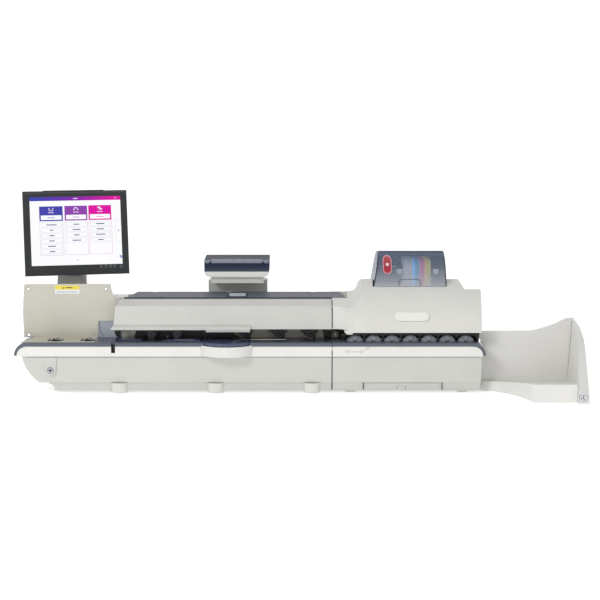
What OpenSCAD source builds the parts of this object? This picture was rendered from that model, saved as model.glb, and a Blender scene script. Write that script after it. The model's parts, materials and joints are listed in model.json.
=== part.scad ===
// Mailing machine: feeder module, printer module, drop stacker, touch display, sealing-fluid tower.
// +X is the way the mail travels, +Y points to the rear, +Z up. The origin is the middle of the
// footprint, on the table.

/* [Modules] */
// Length of the feeder module, from the rounded deck tip to the seam
feeder_l = 1026; // [1020:1:1040]
// Length of the printer module, from the seam to the exit tip
printer_l = 496; // [490:1:510]
// How far the drop stacker stands out past the exit tip
stacker_l = 306; // [300:1:320]
// Depth of the two modules, shelf front to rear screws
body_d = 474; // [470:1:490]
// How far the stacker stands in front of the shelf
stacker_reach = 194; // [190:1:200]

/* [Heights] */
// Height of the mail deck
deck_z = 166; // [164:1:168]
// Height of the feeder housing at its front edge
top_z = 297; // [295:1:300]
// Height of the tilt pin that carries the display
pin_z = 493; // [480:1:520]

/* [Display] */
// Width of the display over its bezel
disp_w = 348; // [330:1:360]
// Height of the display over its bezel
disp_h = 281; // [270:1:290]
// Angle by which the display is turned towards the operator
disp_yaw = 16; // [0:1:20]
// Angle by which the display leans back
disp_tilt = 8.6; // [0:0.1:15]

/* [Rollers] */
// Radius of each compliant platen roller
platen_r = 28; // [26:0.5:28.5]
// Number of platen rollers
platen_n = 7; // [7:1:7]
// Radius of the idler rollers that hold the mail down
idler_r = 12.5; // [11:0.5:12.5]
// Radius of the feed rollers
feed_r = 28; // [27:0.5:29]

/* [Hidden] */

cream = [0.85, 0.85, 0.83];
shade = [0.75, 0.75, 0.72];
slate = [0.30, 0.33, 0.38];
navy = [0.10, 0.13, 0.22];
steel = [0.75, 0.74, 0.70];
black = [0.06, 0.06, 0.07];
grey = [0.45, 0.46, 0.48];

// Main places along X and Y
x_left = -(feeder_l + printer_l + stacker_l) / 2;
x_seam = x_left + feeder_l;
x_exit = x_seam + printer_l;
x_right = -x_left;
y_back = (body_d + stacker_reach) / 2;
y_front = y_back - body_d;
y_stack = -y_back;
y_rear = y_back - 2;
y_split = 60;
y_wall = y_front + 130;
seam = 0.8;
wall = 3;
shelf_z = 122;
trim_z = deck_z - 12;
base_z = 8.5;
step_z = 34;
fit = 0.05;

// Feeder features, measured from the left tip
x_body = x_left + 25;
x_house = x_left + 274;
x_cover = x_left + 317;
feed_x = [x_left + 128, x_left + 235];
pod_x = x_left + 686;
pod_y = y_front + 42;
pod_r = 92;
pod_flat_y = y_front + 88;
foot_x = [x_left + 337, x_left + 649, x_left + 961];
lock_x = x_left + 117;
lock_z = 76;
post_x = x_left + 161;
post_y = y_front + 299;
slot_x = x_left + 320;
idler_x = [x_left + 436, x_left + 520, x_left + 745, x_left + 856, x_left + 957, x_seam + 12.5];
idler_z = deck_z + idler_r + 3;
idler_y = [y_front + 90, y_front + 118];
tower_x = x_left + 711;

// Printer features, measured from the seam
x_hood = x_seam + seam;
x_end = x_seam + 484;
hood_z = 196;
hood_l = x_hood + 55;
roof_y = y_front + 140;
roof_z = top_z + 61.5;
roof_fall = 0.13;
hood_y = y_front + 18;
hood_back = y_front + 370;
bay_x = [x_seam + 134, x_seam + 373];
bay_y = [y_front + 83, y_front + 355];
platen_x = [for (i = [0:platen_n - 1]) x_seam + 75 + 59.8 * i];
platen_z = deck_z + 20 - platen_r;
platen_y = [y_front + 36, y_front + 76];
tray_x = [x_seam + 102, x_seam + 356];

// Helpers: outlines are lists of [y, z] or [x, z] points
function arc(cx, cz, rx, rz, a0, a1, n = 12) =
  [for (i = [0:n]) let (a = a0 + (a1 - a0) * i / n) [cx + rx * cos(a), cz + rz * sin(a)]];
module along_x(x0, x1, pts) translate([x0, 0, 0]) rotate([90, 0, 90]) linear_extrude(x1 - x0)
  polygon(pts);
module along_y(y0, y1, pts) translate([0, y1, 0]) rotate([90, 0, 0]) linear_extrude(y1 - y0) polygon(pts);
module along_z(z0, z1, pts) translate([0, 0, z0]) linear_extrude(z1 - z0) polygon(pts);
module block(x, y, z) translate([x[0], y[0], z[0]]) cube([x[1] - x[0], y[1] - y[0], z[1] - z[0]]);
module rod_y(x, y, z, r, fn = 48) translate([x, y[0], z]) rotate([-90, 0, 0])
  cylinder(h = y[1] - y[0], r = r, $fn = fn);

// ---- Lower body outlines -------------------------------------------------------------------

// Front face of both lower casings, inset by t
function low_yz(t) = [
  [y_front + 6 + t, shelf_z], [y_front + 7 + t, 95], [y_front + 9 + t, 65], [y_front + 12 + t, 36],
  [y_front + 16 + t, 33.5], [y_front + 18 + t, 26], [y_front + 17 + t, 17],
    [y_front + 14 + t, base_z + t],
  [y_split, base_z + t], [y_split, shelf_z]
];
// Feeder end of the lower body as seen from the front, inset by t: a bowed side over a cove
function feeder_xz(t, top) = concat(
  [[x_body + t, top], [x_body + t, shelf_z - 3]],
  arc(x_left + 155.2, shelf_z + 20.8, 132.1 - t, 132.1 - t, 190.4, 235, 6),
  arc(x_left + 103, base_z, 26 + t, 25.5 + t, 90, 0),
  [[x_seam - seam - t, base_z + t], [x_seam - seam - t, top]]
);
function printer_xz(t, top) = [
  [x_hood + t, top], [x_hood + t, base_z + t], [x_end - 4 - t, base_z + t], [x_end - t, top]
];
// White shelf band under the deck: a channel that overhangs the lower face
band_yz = [
  [y_front - 2, shelf_z], [y_front + 2, trim_z], [y_front + 20, trim_z], [y_front + 20, trim_z - 3],
  [y_front + 5, trim_z - 3], [y_front + 1.4, shelf_z + 3], [y_front + 12, shelf_z + 3],
    [y_front + 12, shelf_z]
];
band_left = concat(
  [[x_seam - seam, shelf_z]], [[x_seam - seam, trim_z]],
  arc(x_left + 42, shelf_z + 2, 32.8, trim_z - shelf_z - 2, 90, 180), [[x_left + 9.2, shelf_z]]
);
band_right = concat(
  [[x_hood, shelf_z], [x_exit - 9.2, shelf_z]],
  arc(x_exit - 42, shelf_z + 2, 32.8, trim_z - shelf_z - 2, 0, 90), [[x_hood, trim_z]]
);

foot_y = y_front + 30;
module feet_cuts() for (x = foot_x) translate([x, foot_y, -1])
  cylinder(h = 35.5, r1 = 27.2, r2 = 30.4, $fn = 64);
module pod_plan(r, z) intersection() {
  translate([pod_x, pod_y, z[0]]) cylinder(h = z[1] - z[0], r = r, $fn = 128);
  block([pod_x - r - 1, pod_x + r + 1], [pod_y - r - 1, pod_flat_y + (r - pod_r)], [z[0] - 1, z[1] + 1]);
}

module feeder_front_casing() color(cream) difference() {
  union() {
    difference() {
      intersection() {
        along_x(x_left, x_seam, low_yz(0));
        along_y(y_front, y_split, feeder_xz(0, shelf_z));
      }
      intersection() {
        along_x(x_left, x_seam, concat(low_yz(wall), [[y_split + 1, shelf_z + 1]]));
        along_y(y_front, y_split + 1, feeder_xz(wall, shelf_z + 1));
      }
      block([x_body + wall, x_seam - seam - wall], [y_front + 12, y_split + 1],
        [shelf_z - 2, shelf_z + 1]);
    }
    intersection() {
      along_x(x_left, x_seam, band_yz);
      along_y(y_front - 4, y_front + 30, band_left);
    }
    // Boss round the cam lock
    hull() {
      rod_y(lock_x, [y_front + 2, y_front + 9], lock_z, 17, 32);
      block([lock_x - 18, lock_x + 18], [y_front + 3, y_front + 9], [lock_z + 40, lock_z + 42]);
    }
  }
  feet_cuts();
  pod_plan(pod_r + 0.3, [shelf_z + 2, 180]);
  block([slot_x - 6.5, slot_x + 6.5], [y_front - 5, y_front + 16], [133, trim_z + 1]);
  rod_y(lock_x, [y_front - 1, y_front + 14], lock_z, 9 + fit);
}

// ---- Decks ---------------------------------------------------------------------------------

// Deck skin seen from the front: outer or inner line of the rounded end, inset by t
function deck_left(t) = concat(
  arc(x_left + 42, shelf_z + 2, 42 - min(t, 9), deck_z - shelf_z - 2 - t, 90, 180, 20),
  [[x_left + min(t, 9), shelf_z + 2 - (t > 0 ? 1 : 0)], [x_seam - seam, shelf_z + 2 - (t > 0 ? 1 : 0)],
   [x_seam - seam, deck_z - t]]
);
function deck_right(t) = concat(
  arc(x_exit - 42, shelf_z + 2, 42 - min(t, 9), deck_z - shelf_z - 2 - t, 0, 90, 20),
  [[x_hood, deck_z - t], [x_hood, shelf_z + 2 - (t > 0 ? 1 : 0)],
   [x_exit - min(t, 9), shelf_z + 2 - (t > 0 ? 1 : 0)]]
);
deck_yz = concat(
  [[y_wall, shelf_z], [y_front, shelf_z], [y_front, deck_z - 6]],
  arc(y_front + 6, deck_z - 6, 6, 6, 180, 90, 6), [[y_wall, deck_z]]
);
module deck_skin(right) difference() {
  intersection() {
    along_y(y_front - 1, y_wall, right ? deck_right(0) : deck_left(0));
    along_x(x_left, x_exit, deck_yz);
  }
  along_y(y_front - 2, y_front + 21, right ? deck_right(12) : deck_left(12));
  along_y(y_front + 20, y_wall + 1, right ? deck_right(4) : deck_left(4));
}
module feeder_deck() color(slate) difference() {
  deck_skin(false);
  pod_plan(pod_r + 0.3, [shelf_z, deck_z - 7.8]);
  pod_plan(pod_r - 7.7, [deck_z - 8, deck_z + 1]);
  block([slot_x - 6.5, slot_x + 6.5], [y_front - 5, y_front + 16], [133, deck_z + 1]);
  for (x = feed_x) block([x - 25, x + 25], [y_front + 32, y_front + 88], [deck_z - 6, deck_z + 1]);
}
module printer_deck() color(slate) difference() {
  deck_skin(true);
  block([platen_x[0] - 31, platen_x[platen_n - 1] + 31], [platen_y[0] - 3, platen_y[1] + 3],
    [deck_z - 6, deck_z + 1]);
}

// ---- Feeder --------------------------------------------------------------------------------

module feeder_chassis() color(grey) difference() {
  union() {
    block([x_left + 150, x_seam - 8], [y_front + 76, y_rear - 8], [base_z + wall, base_z + wall + 2]);
    block([x_left + 95, x_seam - 8], [y_front + 98, y_front + 101], [step_z + 6, deck_z - 6]);
    block([x_left + 150, x_seam - 8], [y_front + 98, y_front + 101], [base_z + wall, step_z + 7]);
  }
  for (x = feed_x) rod_y(x, [y_front, y_split], deck_z + 5.5 - feed_r, 4 + fit);
}

// Bent steel sheet: an upright guide with a concave shoulder and a flat feed deck in front of it
module guide_panel() color(steel) {
  y0 = y_wall - 1.2;
  shoulder = concat([[x_left + 303, deck_z + 177]], arc(x_left + 332, deck_z + 177, 29, 54, 180, 270, 10),
                    [[x_left + 339, deck_z + 123], [x_left + 339, deck_z + 55]]);
  difference() {
    union() {
      along_y(y0, y_wall, concat(
        [[x_left + 260, deck_z + 55], [x_left + 258, deck_z], [x_left + 15, deck_z],
        [x_left + 12, deck_z + 85],
         [x_left + 17, deck_z + 171]],
        arc(x_left + 23, deck_z + 171, 6, 6, 180, 90, 6), shoulder));
      along_z(deck_z, deck_z + 1.2, [[x_left + 21, y_front + 11], [x_left + 257, y_front + 11],
                                     [x_left + 257, y_wall], [x_left + 50, y_wall]]);
    }
    for (p = [[x_left + 32, deck_z + 161], [x_left + 286, deck_z + 161], [x_left + 31, deck_z + 9]])
      rod_y(p[0], [y0 - 1, y_wall + 1], p[1], 5);
    for (x = feed_x) block([x - 25, x + 25], [y_front + 32, y_front + 88], [deck_z - 6, deck_z + 3]);
  }
}

module entry_wall() color([0.42, 0.45, 0.51])
  along_y(y_wall + 0.2, y_wall + 4, [[x_left + 232, deck_z + 0.2], [x_left + 232, deck_z + 60],
    [x_left + 338, deck_z + 60], [x_left + 338, deck_z + 30], [x_left + 338, deck_z + 0.2]]);

module transport_wall() color([0.72, 0.70, 0.64]) difference() {
  block([x_left + 339, x_seam - 2], [y_wall + 0.2, y_wall + 4], [deck_z + 0.2, top_z - 52]);
  for (i = [0:4]) rod_y(idler_x[i], [y_wall - 1, y_wall + 6], idler_z, 3 + fit);
}

// Upper and lower rear housing of the feeder in one moulding; the top holds a trough
house_rear_z = top_z - 26;
function house_yz(t) = concat(
  [[y_wall + 4.4 + t, shelf_z - 10], [y_wall + 4.4 + t, top_z + 0.6 - t],
    [y_front + 232, top_z + 0.6 - t]],
  arc(y_rear - 22, house_rear_z - 22, 22 - t, 22 - t, 90, 0, 8), [[y_rear - t, shelf_z - 10]]
);
trough_y = [y_front + 138, y_front + 230];
lid_y0 = y_front + 116;
lid_pin = [y_front + 231, top_z + 5.3];
lid_lug_x = [x_left + 440, x_left + 686, x_seam - 60];
module feeder_rear_casing() color(cream) {
  rear_shell();
  // Lugs that carry the hinge pin of the long lid
  for (x = lid_lug_x) difference() {
    along_x(x - 6, x + 6, concat([[lid_pin[0] + 4, top_z - 2.5]],
      arc(lid_pin[0], lid_pin[1], 4, 4, 0, 180, 12), [[lid_pin[0] - 0.8, top_z - 2.5]]));
    translate([x - 7, lid_pin[0], lid_pin[1]]) rotate([0, 90, 0]) cylinder(h = 14, r = 2 + fit, $fn = 32);
  }
}
module rear_shell() difference() {
  union() {
    along_x(x_house, x_seam - seam, house_yz(0));
    intersection() {
      along_y(y_split + 0.6, y_rear, feeder_xz(0, shelf_z));
      block([x_left, x_seam], [y_split, y_rear], [0, shelf_z]);
    }
    // Low ledge behind the guide panel that carries the display post
    block([x_body + 20, x_house + 1], [y_wall + 4.4, y_split + 2], [shelf_z + 0.4, shelf_z + 4]);
    block([x_body + 20, x_house + 1], [y_split + 0.6, y_rear], [shelf_z - 4, shelf_z + 4]);
    // Lugs that carry the hinge pin of the front cover
    for (x = lug_x) {
      along_x(x - 5, x + 5, [[hinge_y - 2, hinge_z - 4], [hinge_y + 3, hinge_z + 3],
        [y_wall + 5, top_z - 30],
                             [y_wall + 5, top_z - 46]]);
      translate([x - 5, hinge_y, hinge_z]) rotate([0, 90, 0]) cylinder(h = 10, r = 5, $fn = 48);
    }
    // Mouth of the trough
    block([x_left + 352, x_seam - seam], [trough_y[0] - wall, trough_y[1] + 4], [top_z - 40, top_z - 2]);
  }
  difference() {
    union() {
      along_x(x_house + wall, x_seam - seam - wall, house_yz(wall));
      intersection() {
        along_y(y_split + 0.4, y_rear - wall, feeder_xz(wall, shelf_z));
        block([x_left, x_seam], [y_split, y_rear], [0, shelf_z + 0.1]);
      }
    }
    block([x_left + 352 - wall, x_seam - seam], [trough_y[0] - wall, trough_y[1] + wall],
      [top_z - 37, top_z + 10]);
  }
  block([x_left + 352, x_seam - seam - wall], trough_y, [top_z - 34, top_z + 20]);
  // Upper bay is open below the ledge, so that the feeder front casing closes it
  block([x_house - 1, x_seam], [y_wall, y_split + 0.5], [0, shelf_z + 0.4]);
  block([x_house + wall, x_seam - seam - wall], [y_wall + 4.4 + wall, y_rear - wall],
    [shelf_z - 11, shelf_z + 6]);
  // Rear louvres and the opening for the power inlet
  for (i = [0:9]) block([x_left + 420 + 26 * i, x_left + 434 + 26 * i], [y_rear - 5, y_rear + 1],
    [180, 240]);
  block([x_left + 800, x_left + 850], [y_rear - 5, y_rear + 1], [60, 92]);
  for (x = lug_x) translate([x - 6, hinge_y, hinge_z]) rotate([0, 90, 0])
    cylinder(h = 12, r = 2.5 + fit, $fn = 32);
}

module front_pod() color(cream) difference() {
  pod_plan(pod_r, [shelf_z + 2.2, deck_z - 8]);
  pod_plan(pod_r - 4, [shelf_z + 6, deck_z - 4]);
}
module pod_cap() color(navy) {
  pod_plan(pod_r - 8, [deck_z - 7.8, deck_z - 1]);
  pod_plan(pod_r - 11, [deck_z - 1, deck_z + 1.5]);
}

module feet() color(cream) {
  for (x = foot_x) {
    translate([x, foot_y, 0]) cylinder(h = 33.5, r1 = 27, r2 = 30, $fn = 64);
    translate([x, y_rear - 40, 0]) cylinder(h = base_z, r1 = 25, r2 = 26, $fn = 64);
  }
  for (x = [x_hood + 60, x_end - 60], y = [y_front + 50, y_rear - 40])
    translate([x, y, 0]) cylinder(h = base_z, r = 18, $fn = 64);
}

module screws() color(steel) {
  for (x = [x_left + 330, x_left + 640, x_seam - 60, x_hood + 60, x_end - 60], z = [40, 150])
    translate([x, y_rear, z]) rotate([-90, 0, 0]) cylinder(h = 2, r = 4.5, $fn = 32);
}

// Idler arms: black wedges that hang in front of the transport wall, with housings at the feed nip
module roller_arms() color(black) difference() {
  union() {
    for (i = [0:4]) let (x = idler_x[i], w = i < 2 ? 30 : 46)
      along_y(idler_y[0] + 2, y_wall, [[x - w, idler_z + 24], [x + 21, idler_z + 24],
        [x + 19, idler_z + 6],
                                       [x + 16, deck_z + 4], [x + 4, deck_z + 2.5],
                                       [x - 12, deck_z + 8]]);
    block([x_left + 390, x_seam - 20], [y_wall - 22, y_wall], [idler_z + 23, idler_z + 30]);
  }
  for (i = [0:4]) {
    rod_y(idler_x[i], [idler_y[0] - 1, idler_y[1] + 2], idler_z, idler_r + 0.8);
    block([idler_x[i] - 30, idler_x[i] + 30], [idler_y[0] - 1, idler_y[0] + 14], [deck_z, idler_z - 4]);
    rod_y(idler_x[i], [idler_y[0] - 1, y_wall + 1], idler_z, 3 + fit);
  }
}
// Idler: a rubber tyre on a steel shaft that runs through the arm and the wall
module idler(x, z, r) {
  color(grey) difference() {
    rod_y(x, idler_y, z, r);
    rod_y(x, [idler_y[0] - 1, idler_y[0] + 2], z, r - 3.5);
  }
  color(steel) rod_y(x, [idler_y[0] - 1.5, y_wall + 3.8], z, 3, 32);
}

module feed_roller(x) {
  z = deck_z + 5.5 - feed_r;
  y0 = y_front + 40;
  color(black) difference() {
    rod_y(x, [y0, y0 + 40], z, feed_r, 96);
    for (i = [0:2]) translate([x, y0 + 9 + 10 * i, z]) rotate([-90, 0, 0]) difference() {
      cylinder(h = 2, r = feed_r + 1, $fn = 96);
      cylinder(h = 2, r = feed_r - 2, $fn = 96);
    }
  }
  color(steel) rod_y(x, [y0 - 6, y_front + 112], z, 4, 32);
}

// Top strip of the cover and, past it, the shoulder of the printer hood
strip_y = [y_front + 48, y_front + 109, y_front + 150];
strip_z = [top_z - 17.5, top_z - 1, top_z + 20.4];
// Front cover of the feeder: lip, face and sloping top strip, hinged along its top edge
function cover_yz(t) = [
  [y_front + 40 + t, deck_z + 39], [y_front + 41 + t, 240], [strip_y[0] + t, strip_z[0] - t],
  [strip_y[1], strip_z[1] - t], [strip_y[1] + 2, strip_z[1] - 3 - t]
];
hinge_y = y_front + 107;
hinge_z = top_z - 13;
lug_x = [x_left + 380, x_left + 700, x_seam - 60];
// Left end of the cover, cut back towards the top, inset by t
function cover_xz(t) = [
  [x_cover + t, deck_z + 20], [x_cover + t, deck_z + 39], [x_cover + 7 + t, 277],
    [x_cover + 17 + t, top_z],
  [x_seam - seam - t, top_z], [x_seam - seam - t, deck_z + 20]
];
module cover_shape(t, rear) intersection() {
  along_x(x_cover, x_seam, concat(cover_yz(t), rear));
  along_y(y_front, y_split, cover_xz(t));
}
lip_x = [x_cover - 11, x_left + 762];
grip_x = [x_left + 618, x_left + 760];
lip_yz = [
  [y_front + 44, deck_z + 35], [y_front + 40, deck_z + 35], [y_front + 31, deck_z + 38],
  [y_front + 30, deck_z + 45], [y_front + 36, deck_z + 51], [y_front + 44, deck_z + 51]
];
grip_yz = [
  [y_front + 44, deck_z + 28], [y_front + 30, deck_z + 31], [y_front + 27, deck_z + 40],
  [y_front + 30, deck_z + 47], [y_front + 44, deck_z + 51]
];
module feeder_cover() color(cream) {
  difference() {
    union() {
      difference() {
        cover_shape(0, [[y_front + 111, deck_z + 40]]);
        cover_shape(wall, [[y_front + 113, deck_z + 20], [y_front + 43, deck_z + 20]]);
      }
      // Lip bar, thicker where it is gripped
      intersection() {
        along_x(lip_x[0], lip_x[1], lip_yz);
        along_y(y_front, y_split, [[lip_x[0], deck_z + 35], [x_cover, deck_z + 52],
        [lip_x[1] + 1, deck_z + 52],
                                   [lip_x[1] + 1, deck_z + 30], [lip_x[0], deck_z + 30]]);
      }
      along_x(grip_x[0], grip_x[1], grip_yz);
    }
    block([x_cover - 8, x_seam - 4], [y_front + 43.2, y_front + 120], [deck_z + 20, deck_z + 42]);
    block([x_left, x_seam], [y_front, y_front + 120], [deck_z + 20, deck_z + 28.2]);
  }
  // Hinge pin between the end plates
  translate([x_cover + 12, hinge_y, hinge_z]) rotate([0, 90, 0])
    cylinder(h = x_seam - seam - 14 - x_cover, r = 2.5, $fn = 32);
}

// Long smoked lid over the trough; it reaches over the seam
lid_plan = [
  [x_left + 356, lid_y0], [x_seam + 46, lid_y0], [x_seam + 26, trough_y[1] + 2],
    [x_left + 382, trough_y[1] + 2]
];
lid_slope = 0.0474;
lid_t = 3;
lid_grip = 32;
lid_grip_x = x_left + 717;
module top_lid() color([0.30, 0.34, 0.42, 0.8]) {
  difference() {
    multmatrix([[1, 0, 0, 0], [0, 1, 0, 0], [0, lid_slope, 1, top_z + 0.6 - lid_slope * lid_y0]])
      along_z(0, lid_t, lid_plan);
    block([lid_grip_x - lid_grip, lid_grip_x + lid_grip], [lid_y0 - 3, lid_y0 + 12],
      [top_z - 4, top_z + 20]);
    for (x = lid_lug_x) block([x - 7, x + 7], [lid_pin[0] - 6, lid_pin[0] + 3], [top_z, top_z + 14]);
  }
  // Hinge pin under the rear edge
  translate([x_left + 388, lid_pin[0], lid_pin[1]]) rotate([0, 90, 0])
    cylinder(h = x_seam + 22 - x_left - 388, r = 2, $fn = 32);
}

// ---- Display -------------------------------------------------------------------------------

tilt_back = 62;
// Local frame of the display: its front face is y = 0, its middle x = z = 0
module on_swivel() translate([post_x, post_y, pin_z]) rotate([0, 0, disp_yaw]) children();
module on_display() on_swivel() rotate([-disp_tilt, 0, 0]) translate([0, -tilt_back, 0]) children();

module display_post() color(shade) difference() {
  hull() {
    along_z(shelf_z + 4, shelf_z + 5, [[post_x - 64, post_y - 34], [post_x + 25, post_y - 34],
      [post_x + 49, post_y - 12], [post_x + 49, post_y + 34], [post_x - 64, post_y + 34]]);
    along_z(pin_z - 139, pin_z - 138, [[post_x - 52, post_y - 26], [post_x + 21, post_y - 26],
      [post_x + 40, post_y - 10], [post_x + 40, post_y + 26], [post_x - 52, post_y + 26]]);
  }
  translate([post_x, post_y, pin_z - 170]) cylinder(h = 60, r = 12 + fit, $fn = 64);
}
module swivel_bracket() color(shade) on_swivel() {
  translate([0, 0, -168]) cylinder(h = 34, r = 12, $fn = 64);
  block([-26, 26], [-9, 22], [-136, -40]);
  block([-26, 26], [11, 22], [-41, 12]);
  difference() {
    for (s = [-1, 1]) block([s * 22 - 4, s * 22 + 4], [-9, 12], [-14, 12]);
    translate([-30, 0, 0]) rotate([0, 90, 0]) cylinder(h = 60, r = 4 + fit, $fn = 32);
  }
}
module display_back() color(black) on_display() {
  difference() {
    union() {
      hull() {
        block([-disp_w / 2 + 2, disp_w / 2 - 2], [12, 22], [-disp_h / 2 + 2, disp_h / 2 - 2]);
        block([-disp_w / 2 + 40, disp_w / 2 - 40], [22, 42], [-disp_h / 2 + 40, disp_h / 2 - 30]);
      }
      // Raised spine along the top edge
      block([-105, 98], [6, 24], [disp_h / 2 - 3, disp_h / 2 + 2.4]);
    }
    block([-disp_w / 2 + 5, disp_w / 2 - 5], [11, 18], [-disp_h / 2 + 5, disp_h / 2 - 5]);
    block([-110, 110], [5, 12.2], [disp_h / 2 - 4, disp_h / 2 + 0.1]);
  }
  block([-50, 50], [42, 45], [-50, 50]);
  block([-17, 17], [44, tilt_back], [-9, 9]);
  translate([-17, tilt_back, 0]) rotate([0, 90, 0]) cylinder(h = 34, r = 9, $fn = 48);
  translate([-30, tilt_back, 0]) rotate([0, 90, 0]) cylinder(h = 60, r = 4, $fn = 32);
}
button_x = [79, 95, 111, 124];
module display_bezel() color(black) on_display() difference() {
  block([-disp_w / 2, disp_w / 2], [0, 11.8], [-disp_h / 2, disp_h / 2]);
  block([-152, 152], [-1, 5], [-107, 121]);
  block([-148, 148], [-1, 13], [-103, 117]);
  block([-disp_w / 2 + 4, disp_w / 2 - 4], [8, 13], [-disp_h / 2 + 4, disp_h / 2 - 4]);
  for (x = button_x) block([x - 5, x + 5], [-1, 13], [-120, -114]);
  translate([147, 13, -117]) rotate([90, 0, 0]) cylinder(h = 14, r = 6.2, $fn = 48);
}
module display_screen() color([0.9, 0.92, 0.95]) on_display()
  block([-151.8, 151.8], [1.6, 4.8], [-106.8, 120.8]);
module menu_button(i) color(grey) on_display() block([button_x[i] - 4.7, button_x[i] + 4.7], [-1, 6.5],
  [-119.7, -114.3]);
module power_button() color(grey) on_display()
  translate([147, 6.5, -117]) rotate([90, 0, 0]) cylinder(h = 7.7, r = 5.9, $fn = 48);

// ---- Sealing-fluid tower -------------------------------------------------------------------

tower_y = [y_front + 250, y_front + 420];
tower_w = 108.5;
collar_z = top_z + 74;
collar_r = 18;
tower_pin = [y_front + 413, collar_z + 4];
tower_lug_x = [tower_x - 62, tower_x + 62];
module tower_body() color(cream) {
  difference() {
    union() {
      // Base that stands on the falling roof of the feeder, then a wider neck and the collar
      along_x(tower_x - 99, tower_x + 100, [[tower_y[0] + 90, top_z - 11.8],
        [tower_y[0] + 90, top_z + 36],
                                           [tower_y[1], top_z + 36], [tower_y[1], top_z - 21.5]]);
      block([tower_x - 86, tower_x + 89], [tower_y[0] + 15, tower_y[1]], [top_z + 34, collar_z - 17]);
      along_y(tower_y[0], tower_y[1], concat([[tower_x - tower_w, collar_z]],
        arc(tower_x - tower_w + collar_r, collar_z, collar_r, collar_r, 180, 270, 8),
        arc(tower_x + tower_w - collar_r, collar_z, collar_r, collar_r, 270, 360, 8)));
    }
    block([tower_x - 80, tower_x + 80], [tower_y[0] + 95, tower_y[1] - 10], [top_z - 7, collar_z + 1]);
    block([tower_x - 82, tower_x + 85], [tower_y[0] + 19, tower_y[1] - 4], [top_z + 38, collar_z - 18]);
    block([tower_x - 97, tower_x + 97], [tower_y[0] + 6, tower_y[1] - 6], [collar_z - 12, collar_z + 1]);
  }
  // Lugs that carry the hinge pin of the lid
  for (x = tower_lug_x) difference() {
    along_x(x - 5, x + 5, concat([[tower_y[1] - 1, collar_z - 4]],
      arc(tower_pin[0] + 1, tower_pin[1], 5, 5, 0, 180, 12), [[tower_pin[0] - 1, collar_z - 4]]));
    translate([x - 6, tower_pin[0], tower_pin[1]]) rotate([0, 90, 0])
      cylinder(h = 12, r = 2.2 + fit, $fn = 32);
  }
}
module fluid_bottle() color([0.6, 0.75, 0.85, 0.6]) {
  block([tower_x - 70, tower_x + 56], [tower_y[0] + 98, tower_y[1] - 18], [top_z - 6.8, top_z + 98]);
  translate([tower_x - 7, tower_y[0] + 124, top_z + 97]) cylinder(h = 11, r = 14, $fn = 48);
}
// Smoked hood over the bottle, hinged at the rear
module tower_lid() color([0.22, 0.26, 0.36, 0.85]) {
  lid = [[tower_y[0] + 0.5, collar_z + 0.4], [tower_y[0] + 0.5, collar_z + 29],
    [tower_y[0] + 4, collar_z + 36.5],
         [tower_y[0] + 12, collar_z + 40.5], [tower_y[1] - 10, collar_z + 42.5],
         [tower_y[1] - 4, collar_z + 37],
         [tower_y[1] - 4, collar_z + 1.6]];
  inner = [[tower_y[0] + 3.5, collar_z - 1], [tower_y[0] + 3.5, collar_z + 28.4],
    [tower_y[0] + 6.3, collar_z + 34.4],
           [tower_y[0] + 13, collar_z + 37.5], [tower_y[1] - 11, collar_z + 39.4],
           [tower_y[1] - 7, collar_z + 35.6],
           [tower_y[1] - 7, collar_z - 1]];
  difference() {
    along_x(tower_x - tower_w, tower_x + tower_w, lid);
    along_x(tower_x - tower_w + wall, tower_x + tower_w - wall, inner);
    for (x = tower_lug_x) block([x - 6, x + 6], [tower_y[1] - 12, tower_y[1]], [collar_z, collar_z + 11]);
  }
  translate([tower_x - tower_w + 1, tower_pin[0], tower_pin[1]]) rotate([0, 90, 0])
    cylinder(h = 2 * tower_w - 2, r = 2.2, $fn = 32);
}

// ---- Printer -------------------------------------------------------------------------------

module printer_chassis() color(grey) difference() {
  union() {
    block([x_hood + 8, x_end - 10], [y_front + 84, y_rear - 8], [step_z + 4, step_z + 6]);
    block([x_hood + 8, x_end - 34], [y_front + 84, y_front + 87], [step_z + 5, deck_z - 6]);
  }
  for (x = platen_x) rod_y(x, [y_front, y_split], platen_z, 4 + fit);
}

module printer_front_casing() color(cream) difference() {
  union() {
    difference() {
      intersection() {
        along_x(x_seam, x_exit, low_yz(0));
        along_y(y_front, y_split, printer_xz(0, shelf_z));
      }
      intersection() {
        along_x(x_seam, x_exit, concat(low_yz(wall), [[y_split + 1, shelf_z + 1]]));
        along_y(y_front, y_split + 1, printer_xz(wall, shelf_z + 1));
      }
      block([x_hood + wall, x_end - wall], [y_front + 12, y_split + 1], [shelf_z - 2, shelf_z + 1]);
    }
    intersection() {
      along_x(x_seam, x_exit, band_yz);
      along_y(y_front - 4, y_front + 30, band_right);
    }
  }
  block([tray_x[0] - 1.5, tray_x[1] + 1.5], [y_front, y_split + 1], [0, step_z - 0.6]);
}

// Pull-out tray under the printer: an open box with a coved front
module base_tray() color(cream) difference() {
  along_x(tray_x[0], tray_x[1], [[y_front + 16.2, step_z - 1.6], [y_front + 18, 26], [y_front + 17, 17],
                                 [y_front + 14, base_z], [y_front + 190, base_z],
                                 [y_front + 190, step_z - 1.6]]);
  block([tray_x[0] + 3, tray_x[1] - 3], [y_front + 22, y_front + 187], [base_z + 3, step_z]);
  for (s = [-1, 1]) block([(tray_x[0] + tray_x[1]) / 2 + s * 13 - 1,
    (tray_x[0] + tray_x[1]) / 2 + s * 13 + 1],
                          [y_front, y_front + 20.5], [base_z - 1, 22]);
}

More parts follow.
